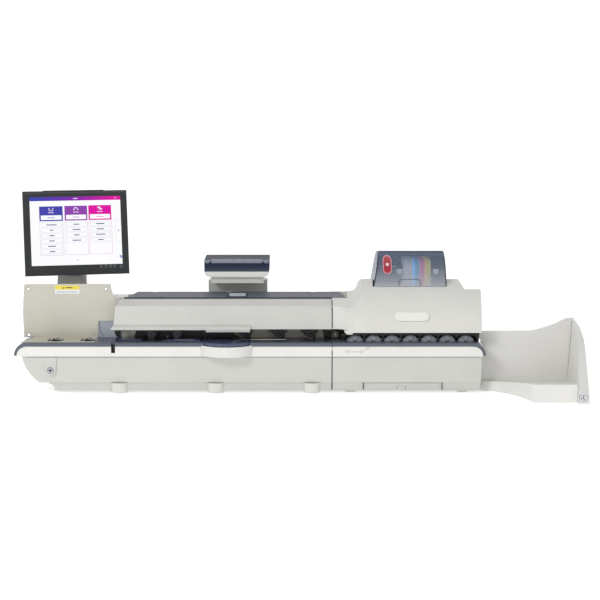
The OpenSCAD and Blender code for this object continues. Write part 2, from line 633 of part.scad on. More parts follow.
// Front view of the hood where the roof starts: a raised middle and a lower exit end
low_z = top_z + 26.6;
block_xz = [
  [x_hood - 1, 0], [x_hood - 1, roof_z], [x_seam + 414, roof_z], [x_seam + 431, low_z],
  [x_end - 3, low_z], [x_end, low_z - 3], [x_end, 0]
];
cove_r = 38;
cove_x = x_seam + 98;
reach = 300;
// The low shoulder by the seam and the hollow that rises from it, measured from the shoulder's surface
shoulder_xz = concat(
  [[x_hood - 1, -reach], [x_hood - 1, 0], [hood_l, 0]],
  arc(hood_l + 0.5, cove_r, cove_r, cove_r, 270, 350, 8),
  [[cove_x - 1, cove_r + 4], [cove_x, reach], [x_end + 1, reach], [x_end + 1, -reach]]
);
// An outline carried from y0 to y1 while it rises by slope; its zero line is at z0 where y is y_at
module ramped(y0, y1, z0, y_at, slope, pts)
  multmatrix([[1, 0, 0, 0], [0, 1, 0, 0], [0, slope, 1, z0 - slope * y_at]]) along_y(y0, y1, pts);
// Shoulder surface: the cover's top strip, a steeper rise past it, then the fall to the rear
strip_slope = (strip_z[1] - strip_z[0]) / (strip_y[1] - strip_y[0]);
rise_slope = (strip_z[2] - strip_z[1]) / (strip_y[2] - strip_y[1]);
module shoulder(y_end) {
  ramped(y_front, strip_y[1], strip_z[0], strip_y[0], strip_slope, shoulder_xz);
  ramped(strip_y[1], strip_y[2], strip_z[1], strip_y[1], rise_slope, shoulder_xz);
  ramped(strip_y[2], y_end, strip_z[2], strip_y[2], -roof_fall, shoulder_xz);
}
// Side view of the hood: a quarter ellipse, inset by t
hood_rise = 168.5;
function hood_yz(t) = concat(
  arc(roof_y, roof_z - hood_rise, roof_y - hood_y - t, hood_rise - t,
      180 - asin((hood_z - roof_z + hood_rise) / hood_rise), 90, 20),
  [[hood_back + t, roof_z - t], [hood_back + t, hood_z]]
);
// Hood in plan: its front swings out from the line of the feeder cover, inset by t
swing = 13;
function hood_plan(t) = concat(
  [[x_hood + t, hood_back + t], [x_hood + t, hood_y + 2 * swing + t]],
  [for (i = [1:8]) [x_hood + 10 + 8 * i, hood_y + t + swing * (1 + cos(22.5 * i))]],
  [[x_end - t, hood_y + t], [x_end - t, hood_back + t]]
);
module hood_outer(t) intersection() {
  translate([0, 0, -t]) ramped(y_front, hood_back + t, 0, roof_y, -roof_fall, block_xz);
  translate([0, 0, -t]) shoulder(hood_back + t);
  along_x(x_hood + t, x_end - t, hood_yz(t));
  along_z(hood_z - 1, roof_z + 1, hood_plan(t));
}
seat_x = x_seam + 50;
module printer_hood() color(cream) difference() {
  hood_outer(0);
  difference() {
    hood_outer(wall);
    block([x_hood, seat_x + wall], [lid_y0 - 1 - wall, lid_pin[0] + 4.6 + wall], [top_z - 8, roof_z]);
  }
  block([x_hood + wall, x_end - wall], [hood_y + 2 * swing + wall, hood_back + 1],
    [hood_z - 1, hood_z + 6]);
  block([hood_l + 20, x_end - wall], [hood_y + wall, hood_back + 1], [hood_z - 1, hood_z + 6]);
  // Raised lower edge by the seam, the seat of the long lid and the opening of the ink bay
  along_y(y_front, hood_back + 1, [
    [x_hood - 1, hood_z - 2], [x_hood - 1, hood_z + 9], [x_hood + 36, hood_z + 9],
    [x_hood + 46, hood_z + 7.5], [x_hood + 54, hood_z + 4], [x_hood + 61, hood_z - 2]]);
  block([x_hood - 1, seat_x], [lid_y0 - 1, lid_pin[0] + 4.6], [top_z - 5, top_z + 60]);
  block([bay_x[0] - 0.6, bay_x[1] + 0.6], [bay_y[0], bay_y[1]], [310, 400]);
  block([x_end - 10, x_end + 1], [y_front + 120, hood_back + 1], [hood_z - 1, hood_z + 1]);
}

// Rear end of the casing seen from the side, inset by t
rear_r = 22;
function rear_yz(t) = concat(
  [[hood_back + (t > 0 ? -1 : 0.6), 0], [hood_back + (t > 0 ? -1 : 0.6), roof_z + 10]],
  arc(y_rear - rear_r, roof_z - (y_rear - rear_r - roof_y) * roof_fall - rear_r, rear_r - t, rear_r - t,
    90, 0, 8),
  [[y_rear - t, 0]]
);
module rear_outer(t) intersection() {
  translate([0, 0, -t]) ramped(hood_back - 2, y_rear, 0, roof_y, -roof_fall, block_xz);
  translate([0, 0, -t]) ramped(hood_back - 2, y_rear, strip_z[2], strip_y[2], -roof_fall, shoulder_xz);
  along_x(x_hood + t, x_end - t, rear_yz(t));
  block([x_seam, x_exit], [y_split, y_back], [hood_z - 10, roof_z]);
}
module printer_rear_casing() color(cream) difference() {
  union() {
    rear_outer(0);
    intersection() {
      along_y(y_split + 0.6, y_rear, printer_xz(0, hood_z - 0.6));
      block([x_seam, x_exit], [y_split, y_rear], [0, hood_z]);
    }
    block([x_hood, x_end], [y_wall + 4, y_split + 2], [shelf_z + 0.6, hood_z - 0.6]);
  }
  rear_outer(wall);
  block([x_hood + wall, x_end - 4 - wall], [y_wall, y_rear - wall], [base_z + wall, hood_z - 5]);
  block([x_hood + wall, x_end - wall], [y_wall, hood_back], [hood_z - 10, 330]);
  block([x_hood + wall, x_end - 4 - wall], [y_wall, y_split + 1], [0, shelf_z + 8]);
  block([x_hood - 1, x_exit], [y_wall + 3, y_split + 0.5], [0, shelf_z + 0.5]);
  for (i = [0:11]) block([x_seam + 120 + 22 * i, x_seam + 132 + 22 * i], [y_rear - 5, y_rear + 1],
    [200, 260]);
}

// Flat steel plate that the mail is pressed up against, with guide wedges between the rollers
module registration_plate() color(black) difference() {
  union() {
    block([x_hood + 30, x_end - 8], [y_front + 30, y_front + 84], [deck_z + 21, deck_z + 24]);
    block([x_hood + 30, x_end - 8], [y_front + 81, y_front + 84], [deck_z + 4, deck_z + 40]);
    for (i = [0:platen_n - 2]) along_y(y_front + 40, y_front + 82, [
      [platen_x[i] + 22, deck_z + 21.5], [platen_x[i] + 38, deck_z + 21.5],
        [platen_x[i] + 30, deck_z + 11]]);
    along_y(y_front + 40, y_front + 84, [[x_end - 22, deck_z + 22], [x_end - 8, deck_z + 22],
      [x_end - 8, deck_z + 6],
                                         [x_end - 14, deck_z + 6]]);
    // Arm of the transfer roller
    block([x_seam + 4, x_seam + 44], [idler_y[1] + 1.5, idler_y[1] + 6], [deck_z + 6, deck_z + 48]);
    block([x_hood + 30, x_hood + 42], [y_front + 83, idler_y[1] + 6], [deck_z + 30, deck_z + 40]);
  }
  block([x_seam + 200, x_seam + 330], [y_front + 44, y_front + 74], [deck_z + 20, deck_z + 30]);
  rod_y(idler_x[5], [idler_y[1], y_wall], idler_z, 3 + fit);
}
module print_head() color(black) {
  block([x_seam + 202, x_seam + 328], [y_front + 46, y_front + 72], [deck_z + 21.5, deck_z + 42]);
  block([x_seam + 190, x_seam + 340], [y_front + 46, y_front + 150], [deck_z + 41, 260]);
}
ink_mid = (bay_x[0] + bay_x[1]) / 2;
ink_pin = [bay_y[1] - 6, top_z + 37];
ink_lug_x = [ink_mid - 84, ink_mid + 84];
module ink_bay() color(shade) {
  difference() {
    union() {
      block([bay_x[0] + 8, bay_x[1] - 8], [bay_y[0] + 6, bay_y[1] - 11], [top_z - 11, top_z + 32]);
      block([bay_x[0] - 8, bay_x[1] + 8], [bay_y[0] + 62, bay_y[1] - 11], [top_z + 23, top_z + 26]);
      for (x = [bay_x[0] - 8, bay_x[1] + 3])
        block([x, x + 5], [bay_y[0] + 62, bay_y[1] - 11], [top_z + 25, top_z + 31.8]);
    }
    block([bay_x[0] + 11, bay_x[1] - 11], [bay_y[0] + 9, bay_y[1] - 14], [top_z - 7, top_z + 40]);
  }
  // Lugs that carry the hinge pin of the ink cover
  for (x = ink_lug_x) difference() {
    along_x(x - 6, x + 6, concat([[ink_pin[0] + 5, top_z + 15], [ink_pin[0] + 5, ink_pin[1]]],
      arc(ink_pin[0], ink_pin[1], 5, 5, 15, 165, 10),
        [[ink_pin[0] - 5, ink_pin[1]], [ink_pin[0] - 6, top_z + 15]]));
    translate([x - 7, ink_pin[0], ink_pin[1]]) rotate([0, 90, 0])
      cylinder(h = 14, r = 2.5 + fit, $fn = 32);
  }
}
tank_x = [[163, 196], [239, 268], [275, 291], [293, 307], [309, 327]];
tank_colour = [[0.8, 0.1, 0.15], black, [0.2, 0.5, 0.8], [0.8, 0.3, 0.55], [0.85, 0.8, 0.2]];
module ink_tanks() for (i = [0:4]) color(tank_colour[i])
  block([x_seam + tank_x[i][0], x_seam + tank_x[i][1]], [y_front + 160, bay_y[1] - 34],
        [top_z - 7, top_z + 121]);

// Smoked visor over the ink tanks: bowed front, tapered sides, hinged at the rear
function visor_yz(y0, t) = concat(
  [[y0 + t, top_z + 41 - t / 3]], arc(y0 + 155, top_z + 38, 155 - t, 110 - t, 176, 97, 14),
  [[bay_y[1] - 24 - t / 3, top_z + 135 - t], [bay_y[1] - 4 - t, top_z + 101 - t / 3],
    [bay_y[1] - 4 - t, top_z + 34 - t / 3]]
);
function visor_xz(t) = [
  [ink_mid - 119 + t, top_z + 33], [ink_mid - 98 + t, top_z + 150], [ink_mid + 118 - t, top_z + 150],
  [ink_mid + 119 - t, top_z + 33]
];
module visor(t) intersection() {
  along_x(bay_x[0], bay_x[1], visor_yz(bay_y[0] + 2, t));
  along_y(bay_y[0], bay_y[1], visor_xz(t));
}
module ink_cover() color([0.35, 0.42, 0.50, 0.5]) {
  difference() {
    visor(0);
    visor(wall);
    for (x = ink_lug_x) block([x - 7, x + 7], [ink_pin[0] - 6, bay_y[1]], [top_z + 30, top_z + 43.4]);
  }
  translate([ink_mid - 118, ink_pin[0], ink_pin[1]]) rotate([0, 90, 0])
    cylinder(h = 236, r = 2.5, $fn = 32);
}

module platen_roller(i) {
  color(grey) difference() {
    rod_y(platen_x[i], platen_y, platen_z, platen_r, 96);
    rod_y(platen_x[i], [platen_y[0] - 1, platen_y[0] + 3], platen_z, platen_r - 4, 96);
    for (k = [0:11]) translate([platen_x[i], platen_y[0] - 1, platen_z]) rotate([0, 30 * k, 0])
      block([12, platen_r - 6], [0, 26], [-1, 1]);
  }
  color(steel) rod_y(platen_x[i], [platen_y[0] - 2, y_front + 96], platen_z, 4, 32);
}

// ---- Stacker -------------------------------------------------------------------------------

stk_x = x_end + 2;
stk_rear = y_front + 74;
end_x = x_right - 34;
function floor_z(y) = 30 + (stk_rear - y) * 0.1207;
// Tray in plan: an S-shaped front edge that swings out from the printer, inset by t
function stk_plan(t) = [
  [stk_x + t, stk_rear + 14], [stk_x + t, y_front + 66 + t], [x_right - 274 + t, y_front + 45 + t],
  [x_right - 239 + t, y_front + 6 + t], [x_right - 207 + t, y_front - 47],
    [x_right - 181 + t, y_front - 129],
  [x_right - 168 + t, y_front - 163 + t], [end_x + 4 - t, y_front - 163 + t],
    [end_x + 4 - t, stk_rear + 14]
];
// End wall seen from the side: a bowed front edge running into a broad foot, inset by t
function end_yz(t) = [
  [stk_rear + 28 - t, 238 - t], [y_front + 74, 236 - t], [y_front + 40, 227 - t],
    [y_front + 6 + t, 212 - t],
  [y_front - 65 + t, 181 - t], [y_front - 115 + t, 125 - t / 2], [y_front - 155 + t, 69],
    [y_stack + 5 + t, 22],
  [y_stack + t, 16], [y_stack + t, -t], [stk_rear + 28 - t, -t]
];
// End wall seen from the front: it leans outwards and thins towards a rounded top, inset by t
function end_xz(t) = [
  [end_x + t, -1], [end_x + t, 40], [x_right - 31 + t, 60], [x_right - 24 + t, 130],
    [x_right - 19 + t, 190],
  [x_right - 17 + t, 240], [x_right - 14 - t, 240], [x_right - 12.3 - t, 233], [x_right - 2.3 - t, 215],
  [x_right - t, 190], [x_right - t, -1]
];
module end_shape(t) intersection() {
  along_x(end_x, x_right, end_yz(t));
  along_y(y_stack, y_split, t > 0 ? [for (i = [0, 1, 2, 3, 4, 9, 10]) end_xz(t)[i]] : end_xz(0));
}
tip_gap = 1.2;
module stacker_tray() color(cream) {
  difference() {
    intersection() {
      along_z(0, 120, stk_plan(0));
      along_x(stk_x, x_right, [[y_stack, 0], [y_stack, floor_z(y_stack)],
        [stk_rear + 13, floor_z(stk_rear + 13)],
                               [stk_rear + 13, 0]]);
    }
    intersection() {
      along_z(-1, 120, stk_plan(3));
      along_x(stk_x, x_right, [[y_stack - 1, -1], [y_stack - 1, floor_z(y_stack) - 4],
                               [stk_rear + 10, floor_z(stk_rear + 10) - 4], [stk_rear + 10, -1]]);
    }
  }
  // Back wall: leans back, is notched round the deck tip, and sweeps up to the end wall
  intersection() {
    along_y(stk_rear - 4, stk_rear + 40, concat(
      [[stk_x, 27], [stk_x, shelf_z - 1], [x_exit + tip_gap, shelf_z - 1]],
      arc(x_exit - 42, shelf_z + 2, 42 + tip_gap, 42 + tip_gap, 0, 42, 8),
      [[stk_x, deck_z + 1.4], [stk_x - 9, deck_z + 1.4], [stk_x - 9, 193], [x_right - 152, 194],
       [x_right - 115, 203], [x_right - 76, 216], [x_right - 36, 235], [x_right - 16, 235],
         [x_right - 18, 190],
       [x_right - 23, 130], [x_right - 30, 60], [end_x + 1, 27]]));
    along_x(stk_x - 10, x_right, [[stk_rear, 27], [stk_rear + 4, 27], [stk_rear + 26, 240],
      [stk_rear + 22, 240]]);
  }
  difference() {
    end_shape(0);
    end_shape(4);
  }
}
// Raised pad that the stack of mail rests on
module stacker_pad() color([0.92, 0.92, 0.90]) intersection() {
  along_z(1, 120, [
    [x_right - 166, y_front - 163.2], [x_right - 178, y_front - 172],
    [end_x - 0.2, y_front - 172], [end_x - 0.2, y_front - 163.2]]);
  block([stk_x, x_right], [y_stack, y_front], [1, floor_z(y_front - 163)]);
}

// ---- Inside --------------------------------------------------------------------------------

module power_supply() color(steel) block([x_left + 700, x_left + 860], [150, 290],
  [base_z + wall + 2, 80]);
module feed_motor() color(black)
  rod_y(feed_x[1], [y_front + 112.5, y_front + 126], deck_z + 5.5 - feed_r, 17);
module power_inlet() color(black) difference() {
  block([x_left + 801, x_left + 849], [y_rear - 18, y_back], [61, 91]);
  block([x_left + 811, x_left + 839], [y_rear - 14, y_back + 1], [67, 85]);
}

module cam_lock() color(steel) difference() {
  union() {
    rod_y(lock_x, [y_front + 0.5, y_front + 20], lock_z, 9);
    block([lock_x - 6, lock_x + 6], [y_front + 19, y_front + 22], [lock_z - 8, lock_z + 26]);
  }
  block([lock_x - 1.2, lock_x + 1.2], [y_front, y_front + 9], [lock_z - 5, lock_z + 5]);
}

feeder_chassis();
feeder_front_casing();
feeder_deck();
guide_panel();
entry_wall();
transport_wall();
feeder_rear_casing();
front_pod();
pod_cap();
feet();
screws();
printer_chassis();
printer_front_casing();
printer_deck();
printer_hood();
printer_rear_casing();
registration_plate();
print_head();
ink_bay();
ink_tanks();
tower_body();
fluid_bottle();
stacker_tray();
stacker_pad();
power_supply();
feed_motor();
power_inlet();
display_post();
roller_arms();
swivel_bracket();
display_back();
display_bezel();
display_screen();
for (i = [0:3]) menu_button(i);
power_button();
feeder_cover();
top_lid();
ink_cover();
tower_lid();
base_tray();
cam_lock();
for (i = [0:1]) feed_roller(feed_x[i]);
idler(idler_x[0], idler_z, idler_r);  // separator_roller
idler(idler_x[1], idler_z, idler_r);  // retard_roller
for (i = [0:2]) idler(idler_x[i + 2], idler_z, idler_r);
idler(idler_x[5], idler_z, 11.5);  // transfer_roller
for (i = [0:6]) platen_roller(i);
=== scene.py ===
"""Looks of the mailing machine: finishes for every CAD node, and detail pieces that ride on its bodies."""

import json
import math

import bmesh
import bpy
from mathutils import Matrix, Vector
from mathutils.bvhtree import BVHTree


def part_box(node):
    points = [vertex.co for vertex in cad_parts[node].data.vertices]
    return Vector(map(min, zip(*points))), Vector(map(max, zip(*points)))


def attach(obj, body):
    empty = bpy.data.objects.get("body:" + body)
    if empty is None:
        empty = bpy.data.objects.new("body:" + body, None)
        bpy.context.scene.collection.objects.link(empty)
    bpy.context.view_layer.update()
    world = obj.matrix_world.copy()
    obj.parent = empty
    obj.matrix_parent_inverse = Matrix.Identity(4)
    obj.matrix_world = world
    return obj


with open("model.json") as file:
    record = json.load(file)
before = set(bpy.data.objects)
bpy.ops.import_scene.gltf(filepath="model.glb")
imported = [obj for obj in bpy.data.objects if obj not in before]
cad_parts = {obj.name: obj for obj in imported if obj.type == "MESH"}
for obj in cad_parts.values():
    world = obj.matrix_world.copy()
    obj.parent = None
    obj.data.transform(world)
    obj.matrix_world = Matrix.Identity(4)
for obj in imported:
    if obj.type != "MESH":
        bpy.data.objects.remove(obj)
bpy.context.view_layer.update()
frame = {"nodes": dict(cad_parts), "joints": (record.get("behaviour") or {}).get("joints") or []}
NODES = frame["nodes"]
MM = 0.001


# ---- Colours and materials ----


# Depth of the grain in metres on polished, printed and moulded plastic
POLISHED, PRINTED, MOULDED = 0.00003, 0.00004, 0.00012


def linear(red, green, blue):
    """An sRGB colour, 0 to 255, as the linear colour that a shader takes."""
    parts = []
    for value in (red, green, blue):
        v = value / 255
        parts.append(v / 12.92 if v <= 0.04045 else ((v + 0.055) / 1.055) ** 2.4)
    return (*parts, 1.0)


def blank_material(name):
    mat = bpy.data.materials.new(name)
    mat.use_nodes = True
    tree = mat.node_tree
    return mat, tree, tree.nodes["Principled BSDF"]


def link(tree, output, node, socket):
    tree.links.new(output, node.inputs[socket])


def setting(node, values):
    """Sets constant values on a node's sockets."""
    for socket, value in values.items():
        node.inputs[socket].default_value = value


def coordinates(tree, stretch=(1, 1, 1)):
    """Object coordinates in metres, squeezed or stretched along each axis."""
    source = tree.nodes.new("ShaderNodeTexCoord")
    mapping = tree.nodes.new("ShaderNodeMapping")
    mapping.inputs["Scale"].default_value = stretch
    link(tree, source.outputs["Object"], mapping, "Vector")
    return mapping.outputs["Vector"]


def noise(tree, where, scale, detail=3.0, rough=0.55):
    node = tree.nodes.new("ShaderNodeTexNoise")
    setting(node, {"Scale": scale, "Detail": detail, "Roughness": rough})
    link(tree, where, node, "Vector")
    return node.outputs["Fac"]


def ramp(tree, factor, stops):
    """A colour ramp over factor with stops of (place, linear colour)."""
    node = tree.nodes.new("ShaderNodeValToRGB")
    while len(node.color_ramp.elements) < len(stops):
        node.color_ramp.elements.new(0.5)
    for element, (place, colour) in zip(node.color_ramp.elements, stops):
        element.position = place
        element.color = colour
    link(tree, factor, node, "Fac")
    return node.outputs["Color"]


def spread(tree, factor, low, high):
    """Factor's useful middle mapped to low..high."""
    node = tree.nodes.new("ShaderNodeMapRange")
    setting(node, {"From Min": 0.3, "From Max": 0.7, "To Min": low, "To Max": high})
    link(tree, factor, node, "Value")
    return node.outputs["Result"]


def bump(tree, height, depth, strength=1.0, under=None):
    node = tree.nodes.new("ShaderNodeBump")
    setting(node, {"Distance": depth, "Strength": strength})
    link(tree, height, node, "Height")
    if under is not None:
        link(tree, under, node, "Normal")
    return node.outputs["Normal"]


def shade(colour, factor):
    return (*(min(1.0, c * factor) for c in colour[:3]), 1.0)


def moulded(name, rgb, rough=0.45, depth=MOULDED, tone=0.035, coat=0.0, specular=0.5):
    """Moulded plastic: fine spark-erosion grain, faint flow mottling and uneven gloss."""
    mat, tree, shader = blank_material(name)
    where = coordinates(tree)
    base = linear(*rgb)
    mottle = noise(tree, where, 9.0, 5.0)
    colour = ramp(tree, mottle, [(0.25, shade(base, 1 - tone)), (0.75, shade(base, 1 + tone))])
    link(tree, colour, shader, "Base Color")
    uneven = spread(tree, noise(tree, where, 60.0), rough - 0.05, rough + 0.06)
    link(tree, uneven, shader, "Roughness")
    fine = bump(tree, noise(tree, where, 900.0, 2.0), depth, 0.5)
    wave = bump(tree, noise(tree, where, 14.0, 2.0), 0.0006, 0.25, fine)
    link(tree, wave, shader, "Normal")
    setting(shader, {"Specular IOR Level": specular, "Coat Weight": coat, "Coat Roughness": 0.08})
    return mat


def brushed(name, rgb, rough=0.36, along=(8, 400, 400), metal=0.9):
    """Rolled sheet or turned metal: long fine brush lines, smudges and uneven sheen."""
    mat, tree, shader = blank_material(name)
    where = coordinates(tree, along)
    base = linear(*rgb)
    lines = noise(tree, where, 3.0, 6.0, 0.7)
    colour = ramp(tree, lines, [(0.3, shade(base, 0.92)), (0.7, shade(base, 1.08))])
    link(tree, colour, shader, "Base Color")
    smudge = noise(tree, coordinates(tree), 7.0, 4.0)
    link(tree, spread(tree, smudge, rough - 0.07, rough + 0.09), shader, "Roughness")
    link(tree, bump(tree, lines, 0.00008, 0.6), shader, "Normal")
    setting(shader, {"Metallic": metal, "Anisotropic": 0.4})
    return mat


def rubber(name, rgb):
    """Ground rubber: soft, dusty, with a pebbled skin."""
    mat, tree, shader = blank_material(name)
    where = coordinates(tree)
    base = linear(*rgb)
    dust = noise(tree, where, 45.0, 6.0)
    colour = ramp(tree, dust, [(0.3, shade(base, 0.85)), (0.75, shade(base, 1.25))])
    link(tree, colour, shader, "Base Color")
    link(tree, spread(tree, dust, 0.6, 0.8), shader, "Roughness")
    link(tree, bump(tree, noise(tree, where, 500.0, 3.0), 0.0003, 0.5), shader, "Normal")
    return mat


def height_ramp(tree, low, high, stops):
    """A colour ramp that runs from height low to height high, in metres."""
    source = tree.nodes.new("ShaderNodeTexCoord")
    split = tree.nodes.new("ShaderNodeSeparateXYZ")
    link(tree, source.outputs["Object"], split, "Vector")
    node = tree.nodes.new("ShaderNodeMapRange")
    setting(node, {"From Min": low, "From Max": high})
    link(tree, split.outputs["Z"], node, "Value")
    return ramp(tree, node.outputs["Result"], stops)


def smoked(name, low, high, stops, alpha_stops=None):
    """Smoked clear plastic, its tint painted lighter and darker along its height as light and shade, with
    fine wipe marks in the gloss.
    """
    mat, tree, shader = blank_material(name)
    tint = [(place, linear(*rgb)) for place, rgb in stops]
    link(tree, height_ramp(tree, low, high, tint), shader, "Base Color")
    where = coordinates(tree)
    wipe = noise(tree, coordinates(tree, (3, 30, 30)), 6.0, 5.0)
    link(tree, spread(tree, wipe, 0.27, 0.39), shader, "Roughness")
    link(tree, bump(tree, noise(tree, where, 600.0, 2.0), POLISHED, 0.2), shader, "Normal")
    if alpha_stops:
        grey = [(place, (a, a, a, 1.0)) for place, a in alpha_stops]
        link(tree, height_ramp(tree, low, high, grey), shader, "Alpha")
    shader.inputs["Specular IOR Level"].default_value = 0.15
    return mat


def painted_glow(name, rgb):
    """Moulded plastic with a painted glow: it gives off a little light in its own colour."""
    mat = moulded(name, rgb, 0.5, depth=PRINTED)
    shader = mat.node_tree.nodes["Principled BSDF"]
    setting(shader, {"Emission Color": linear(*rgb), "Emission Strength": 0.34})
    return mat


def glowing(name, rgb):
    """A lit patch of the screen, very slightly uneven as a panel's backlight is."""
    mat, tree, shader = blank_material(name)
    base = linear(*rgb)
    uneven = noise(tree, coordinates(tree), 12.0, 1.0)
    colour = ramp(tree, uneven, [(0.3, shade(base, 0.97)), (0.7, base)])
    link(tree, colour, shader, "Emission Color")
    setting(shader, {"Emission Strength": 1.0, "Base Color": (0.01, 0.01, 0.01, 1), "Roughness": 0.5,
                     "Specular IOR Level": 0.05})
    return mat


tower_low, tower_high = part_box("tower_lid")
cover_low, cover_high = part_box("ink_cover")

M = {
    "deck_dark": moulded("deck_dark_gloss", (44, 50, 66), 0.25, depth=POLISHED, coat=0.2),
    "slate": moulded("slate_trim", (94, 100, 111), 0.34, tone=0.06, specular=0.35),
    "navy": moulded("navy_gloss", (70, 82, 112), 0.2, depth=POLISHED, coat=0.4),
    "steel": brushed("satin_steel", (202, 199, 188), 0.44, metal=0.7),
    "plated": brushed("plated_steel", (190, 191, 194), 0.28, along=(300, 20, 300)),
    "blue_grey": moulded("blue_grey_plastic", (166, 172, 183), 0.4, tone=0.06),
    "black": moulded("black_plastic", (24, 24, 27), 0.42, tone=0.12),
    "grey_rubber": rubber("grey_rubber", (112, 117, 124)),
    "black_rubber": rubber("black_rubber", (38, 39, 42)),
    "lid": moulded("smoked_lid", (80, 87, 99), 0.42, depth=POLISHED, tone=0.05, specular=0.1),
    # Ink cover: light at its foot and dark at its top, painted shading
    "ink_cover": smoked("smoked_cover", cover_low.z, cover_high.z,
                        [(0.0, (192, 196, 203)), (0.35, (166, 173, 184)), (0.7, (126, 139, 160)),
                         (1.0, (94, 109, 133))],
                        [(0.0, 0.85), (0.2, 0.5), (0.6, 0.38), (0.85, 0.5), (1.0, 0.9)]),
    "ink_side_painted_shade": smoked("smoked_cover_side_painted_shade", cover_low.z, cover_high.z,
                       [(0.0, (150, 156, 166)), (0.5, (116, 126, 144)), (1.0, (78, 92, 116))]),
    "ink_top_painted_shade": moulded("smoked_cover_top_painted_shade", (78, 92, 116), 0.45, depth=POLISHED, specular=0.12),
    "lid_top_shade_painted": moulded("tower_lid_top_painted_shade", (62, 68, 78), 0.5, depth=POLISHED, specular=0.05),
    # Tower lid: lighter at its foot as a painted highlight, darkest in its middle as painted shade
    "tower": smoked("tower_smoke", tower_low.z, tower_high.z,
                    [(0.0, (78, 86, 102)), (0.3, (46, 54, 74)), (0.75, (30, 38, 60)), (1.0, (60, 68, 84))]),
    "bottle": moulded("bottle_plastic", (170, 196, 214), 0.25, coat=0.4),
    "bezel": moulded("bezel_plastic", (47, 49, 51), 0.45, tone=0.08, specular=0.3),
    "screen": glowing("screen_glass", (253, 253, 255)),
    "button": moulded("grey_button", (84, 86, 88), 0.4, tone=0.08),
    "dark_metal": brushed("dark_metal", (96, 99, 104), 0.4),
    "steel_painted_shade": brushed("hole_edge_painted_shade", (120, 117, 110), 0.5, metal=0.5),
    "label_white": moulded("label_stock", (238, 238, 240), 0.5, depth=PRINTED),
    "label_yellow": moulded("label_yellow_ink", (233, 214, 72), 0.5, depth=PRINTED),
    "label_blue": moulded("label_blue_ink", (96, 132, 180), 0.5, depth=PRINTED),
    "tread_highlight": rubber("tread_highlight_rubber", (186, 188, 190)),
    "tread_dark": rubber("tread_dark_rubber", (84, 86, 90)),
    "lid_dark": moulded("lid_dark_edge", (46, 54, 74), 0.4, specular=0.15),
    "hub_grey": moulded("hub_plastic", (66, 68, 72), 0.35, tone=0.1),
    "tan_rubber": rubber("tan_rubber", (126, 112, 88)),
    "fin_grey": rubber("fin_grey_rubber", (142, 147, 154)),
    "fin_painted_light": rubber("fin_painted_light_rubber", (156, 161, 168)),
    "fin_painted_shade": rubber("fin_painted_shade_rubber", (92, 97, 106)),
    "cover_edge": moulded("cover_edge_tint", (34, 43, 62), 0.4, specular=0.2),
    "marker_red": moulded("marker_red", (172, 40, 58), 0.35, tone=0.12),
    "tower_band": moulded("tower_band_tint", (128, 134, 146), 0.3, coat=0.2),
    "tower_corner": moulded("tower_corner_tint", (122, 130, 146), 0.3, coat=0.2),
}

# Plain plastics: name, colour and roughness
PLAIN = {
    "cream": ("cream_plastic", (218, 217, 212), 0.45),
    # Darker copy of the cream: painted shade on the front casings and the feeder cover
    "cream_shade_painted": ("front_cream_shade_painted", (203, 203, 198), 0.45),
    # Darker copy of the cream: painted shade on the set-back base and the tray
    "cream_base_shade_painted": ("base_cream_painted_shade", (200, 199, 194), 0.45),
    # Darker copy of the cream: painted shade on the upward slope of the feeder cover
    "cream_slope_shade_painted": ("slope_cream_painted_shade", (203, 202, 198), 0.45),
    # Lighter copy of the cream: painted light on the stacker and the pod, against the shade inside the
    # stacker
    "cream_light_painted": ("stacker_cream_painted_light", (224, 223, 219), 0.45),
    # Painted shadow lines under overhangs
    "painted_shadow_line": ("painted_shadow_line_plastic", (168, 167, 162), 0.6),
    "white": ("white_plastic", (232, 231, 227), 0.4), "pad": ("pad_plastic", (229, 228, 224), 0.45),
    "wall": ("wall_plastic", (206, 202, 190), 0.5), "foot": ("foot_plastic", (215, 214, 209), 0.5),
    # shadow serves dark seams, and painted shade in slots, holes and recesses
    "ink": ("ink_plastic", (140, 146, 154), 0.4), "shadow": ("dark_seam_and_shadow", (30, 31, 34), 0.6),
    "post": ("post_plastic", (178, 179, 176), 0.45),
    "neck_painted_shade": ("neck_painted_shade_plastic", (170, 172, 171), 0.5), "print_dark": ("dark_ink", (58, 60, 62), 0.6),
    "print_grey": ("grey_ink", (164, 165, 167), 0.6), "print_pale": ("pale_ink", (170, 172, 174), 0.5),
    "engraved": ("engraved_line", (200, 199, 194), 0.5), "lid_pale": ("lid_pale_cup", (170, 177, 188), 0.4),
    "dish": ("recess_dish", (206, 206, 204), 0.45),
    "hub_bright": ("hub_bright_plastic", (214, 210, 196), 0.35),
    "badge": ("badge_plastic", (232, 231, 226), 0.35),
    "cover_line": ("cover_highlight", (190, 200, 212), 0.3),
    "marker_rim": ("marker_rim", (214, 150, 162), 0.4), "tank_red": ("tank_red", (150, 60, 74), 0.5),
    "joint_line": ("joint_line", (120, 119, 114), 0.6),
    "bezel_highlight": ("bezel_highlight_edge", (74, 76, 76), 0.4),
}
for key, (name, rgb, rough) in PLAIN.items():
    M[key] = moulded(name, rgb, rough)

# Lit colours of the screen's picture
LIT = {
    "pale_glow": (236, 228, 246), "card_blue": (66, 66, 172), "card_violet": (142, 66, 172),
    "card_magenta": (222, 0, 160), "line_blue": (168, 164, 214), "line_violet": (206, 166, 222),
    "line_magenta": (236, 140, 206), "line_grey": (200, 201, 218), "bar_text": (72, 74, 132),
    "icon_blue": (96, 150, 210),
}
for name, rgb in LIT.items():
    M[name] = glowing(name, rgb)

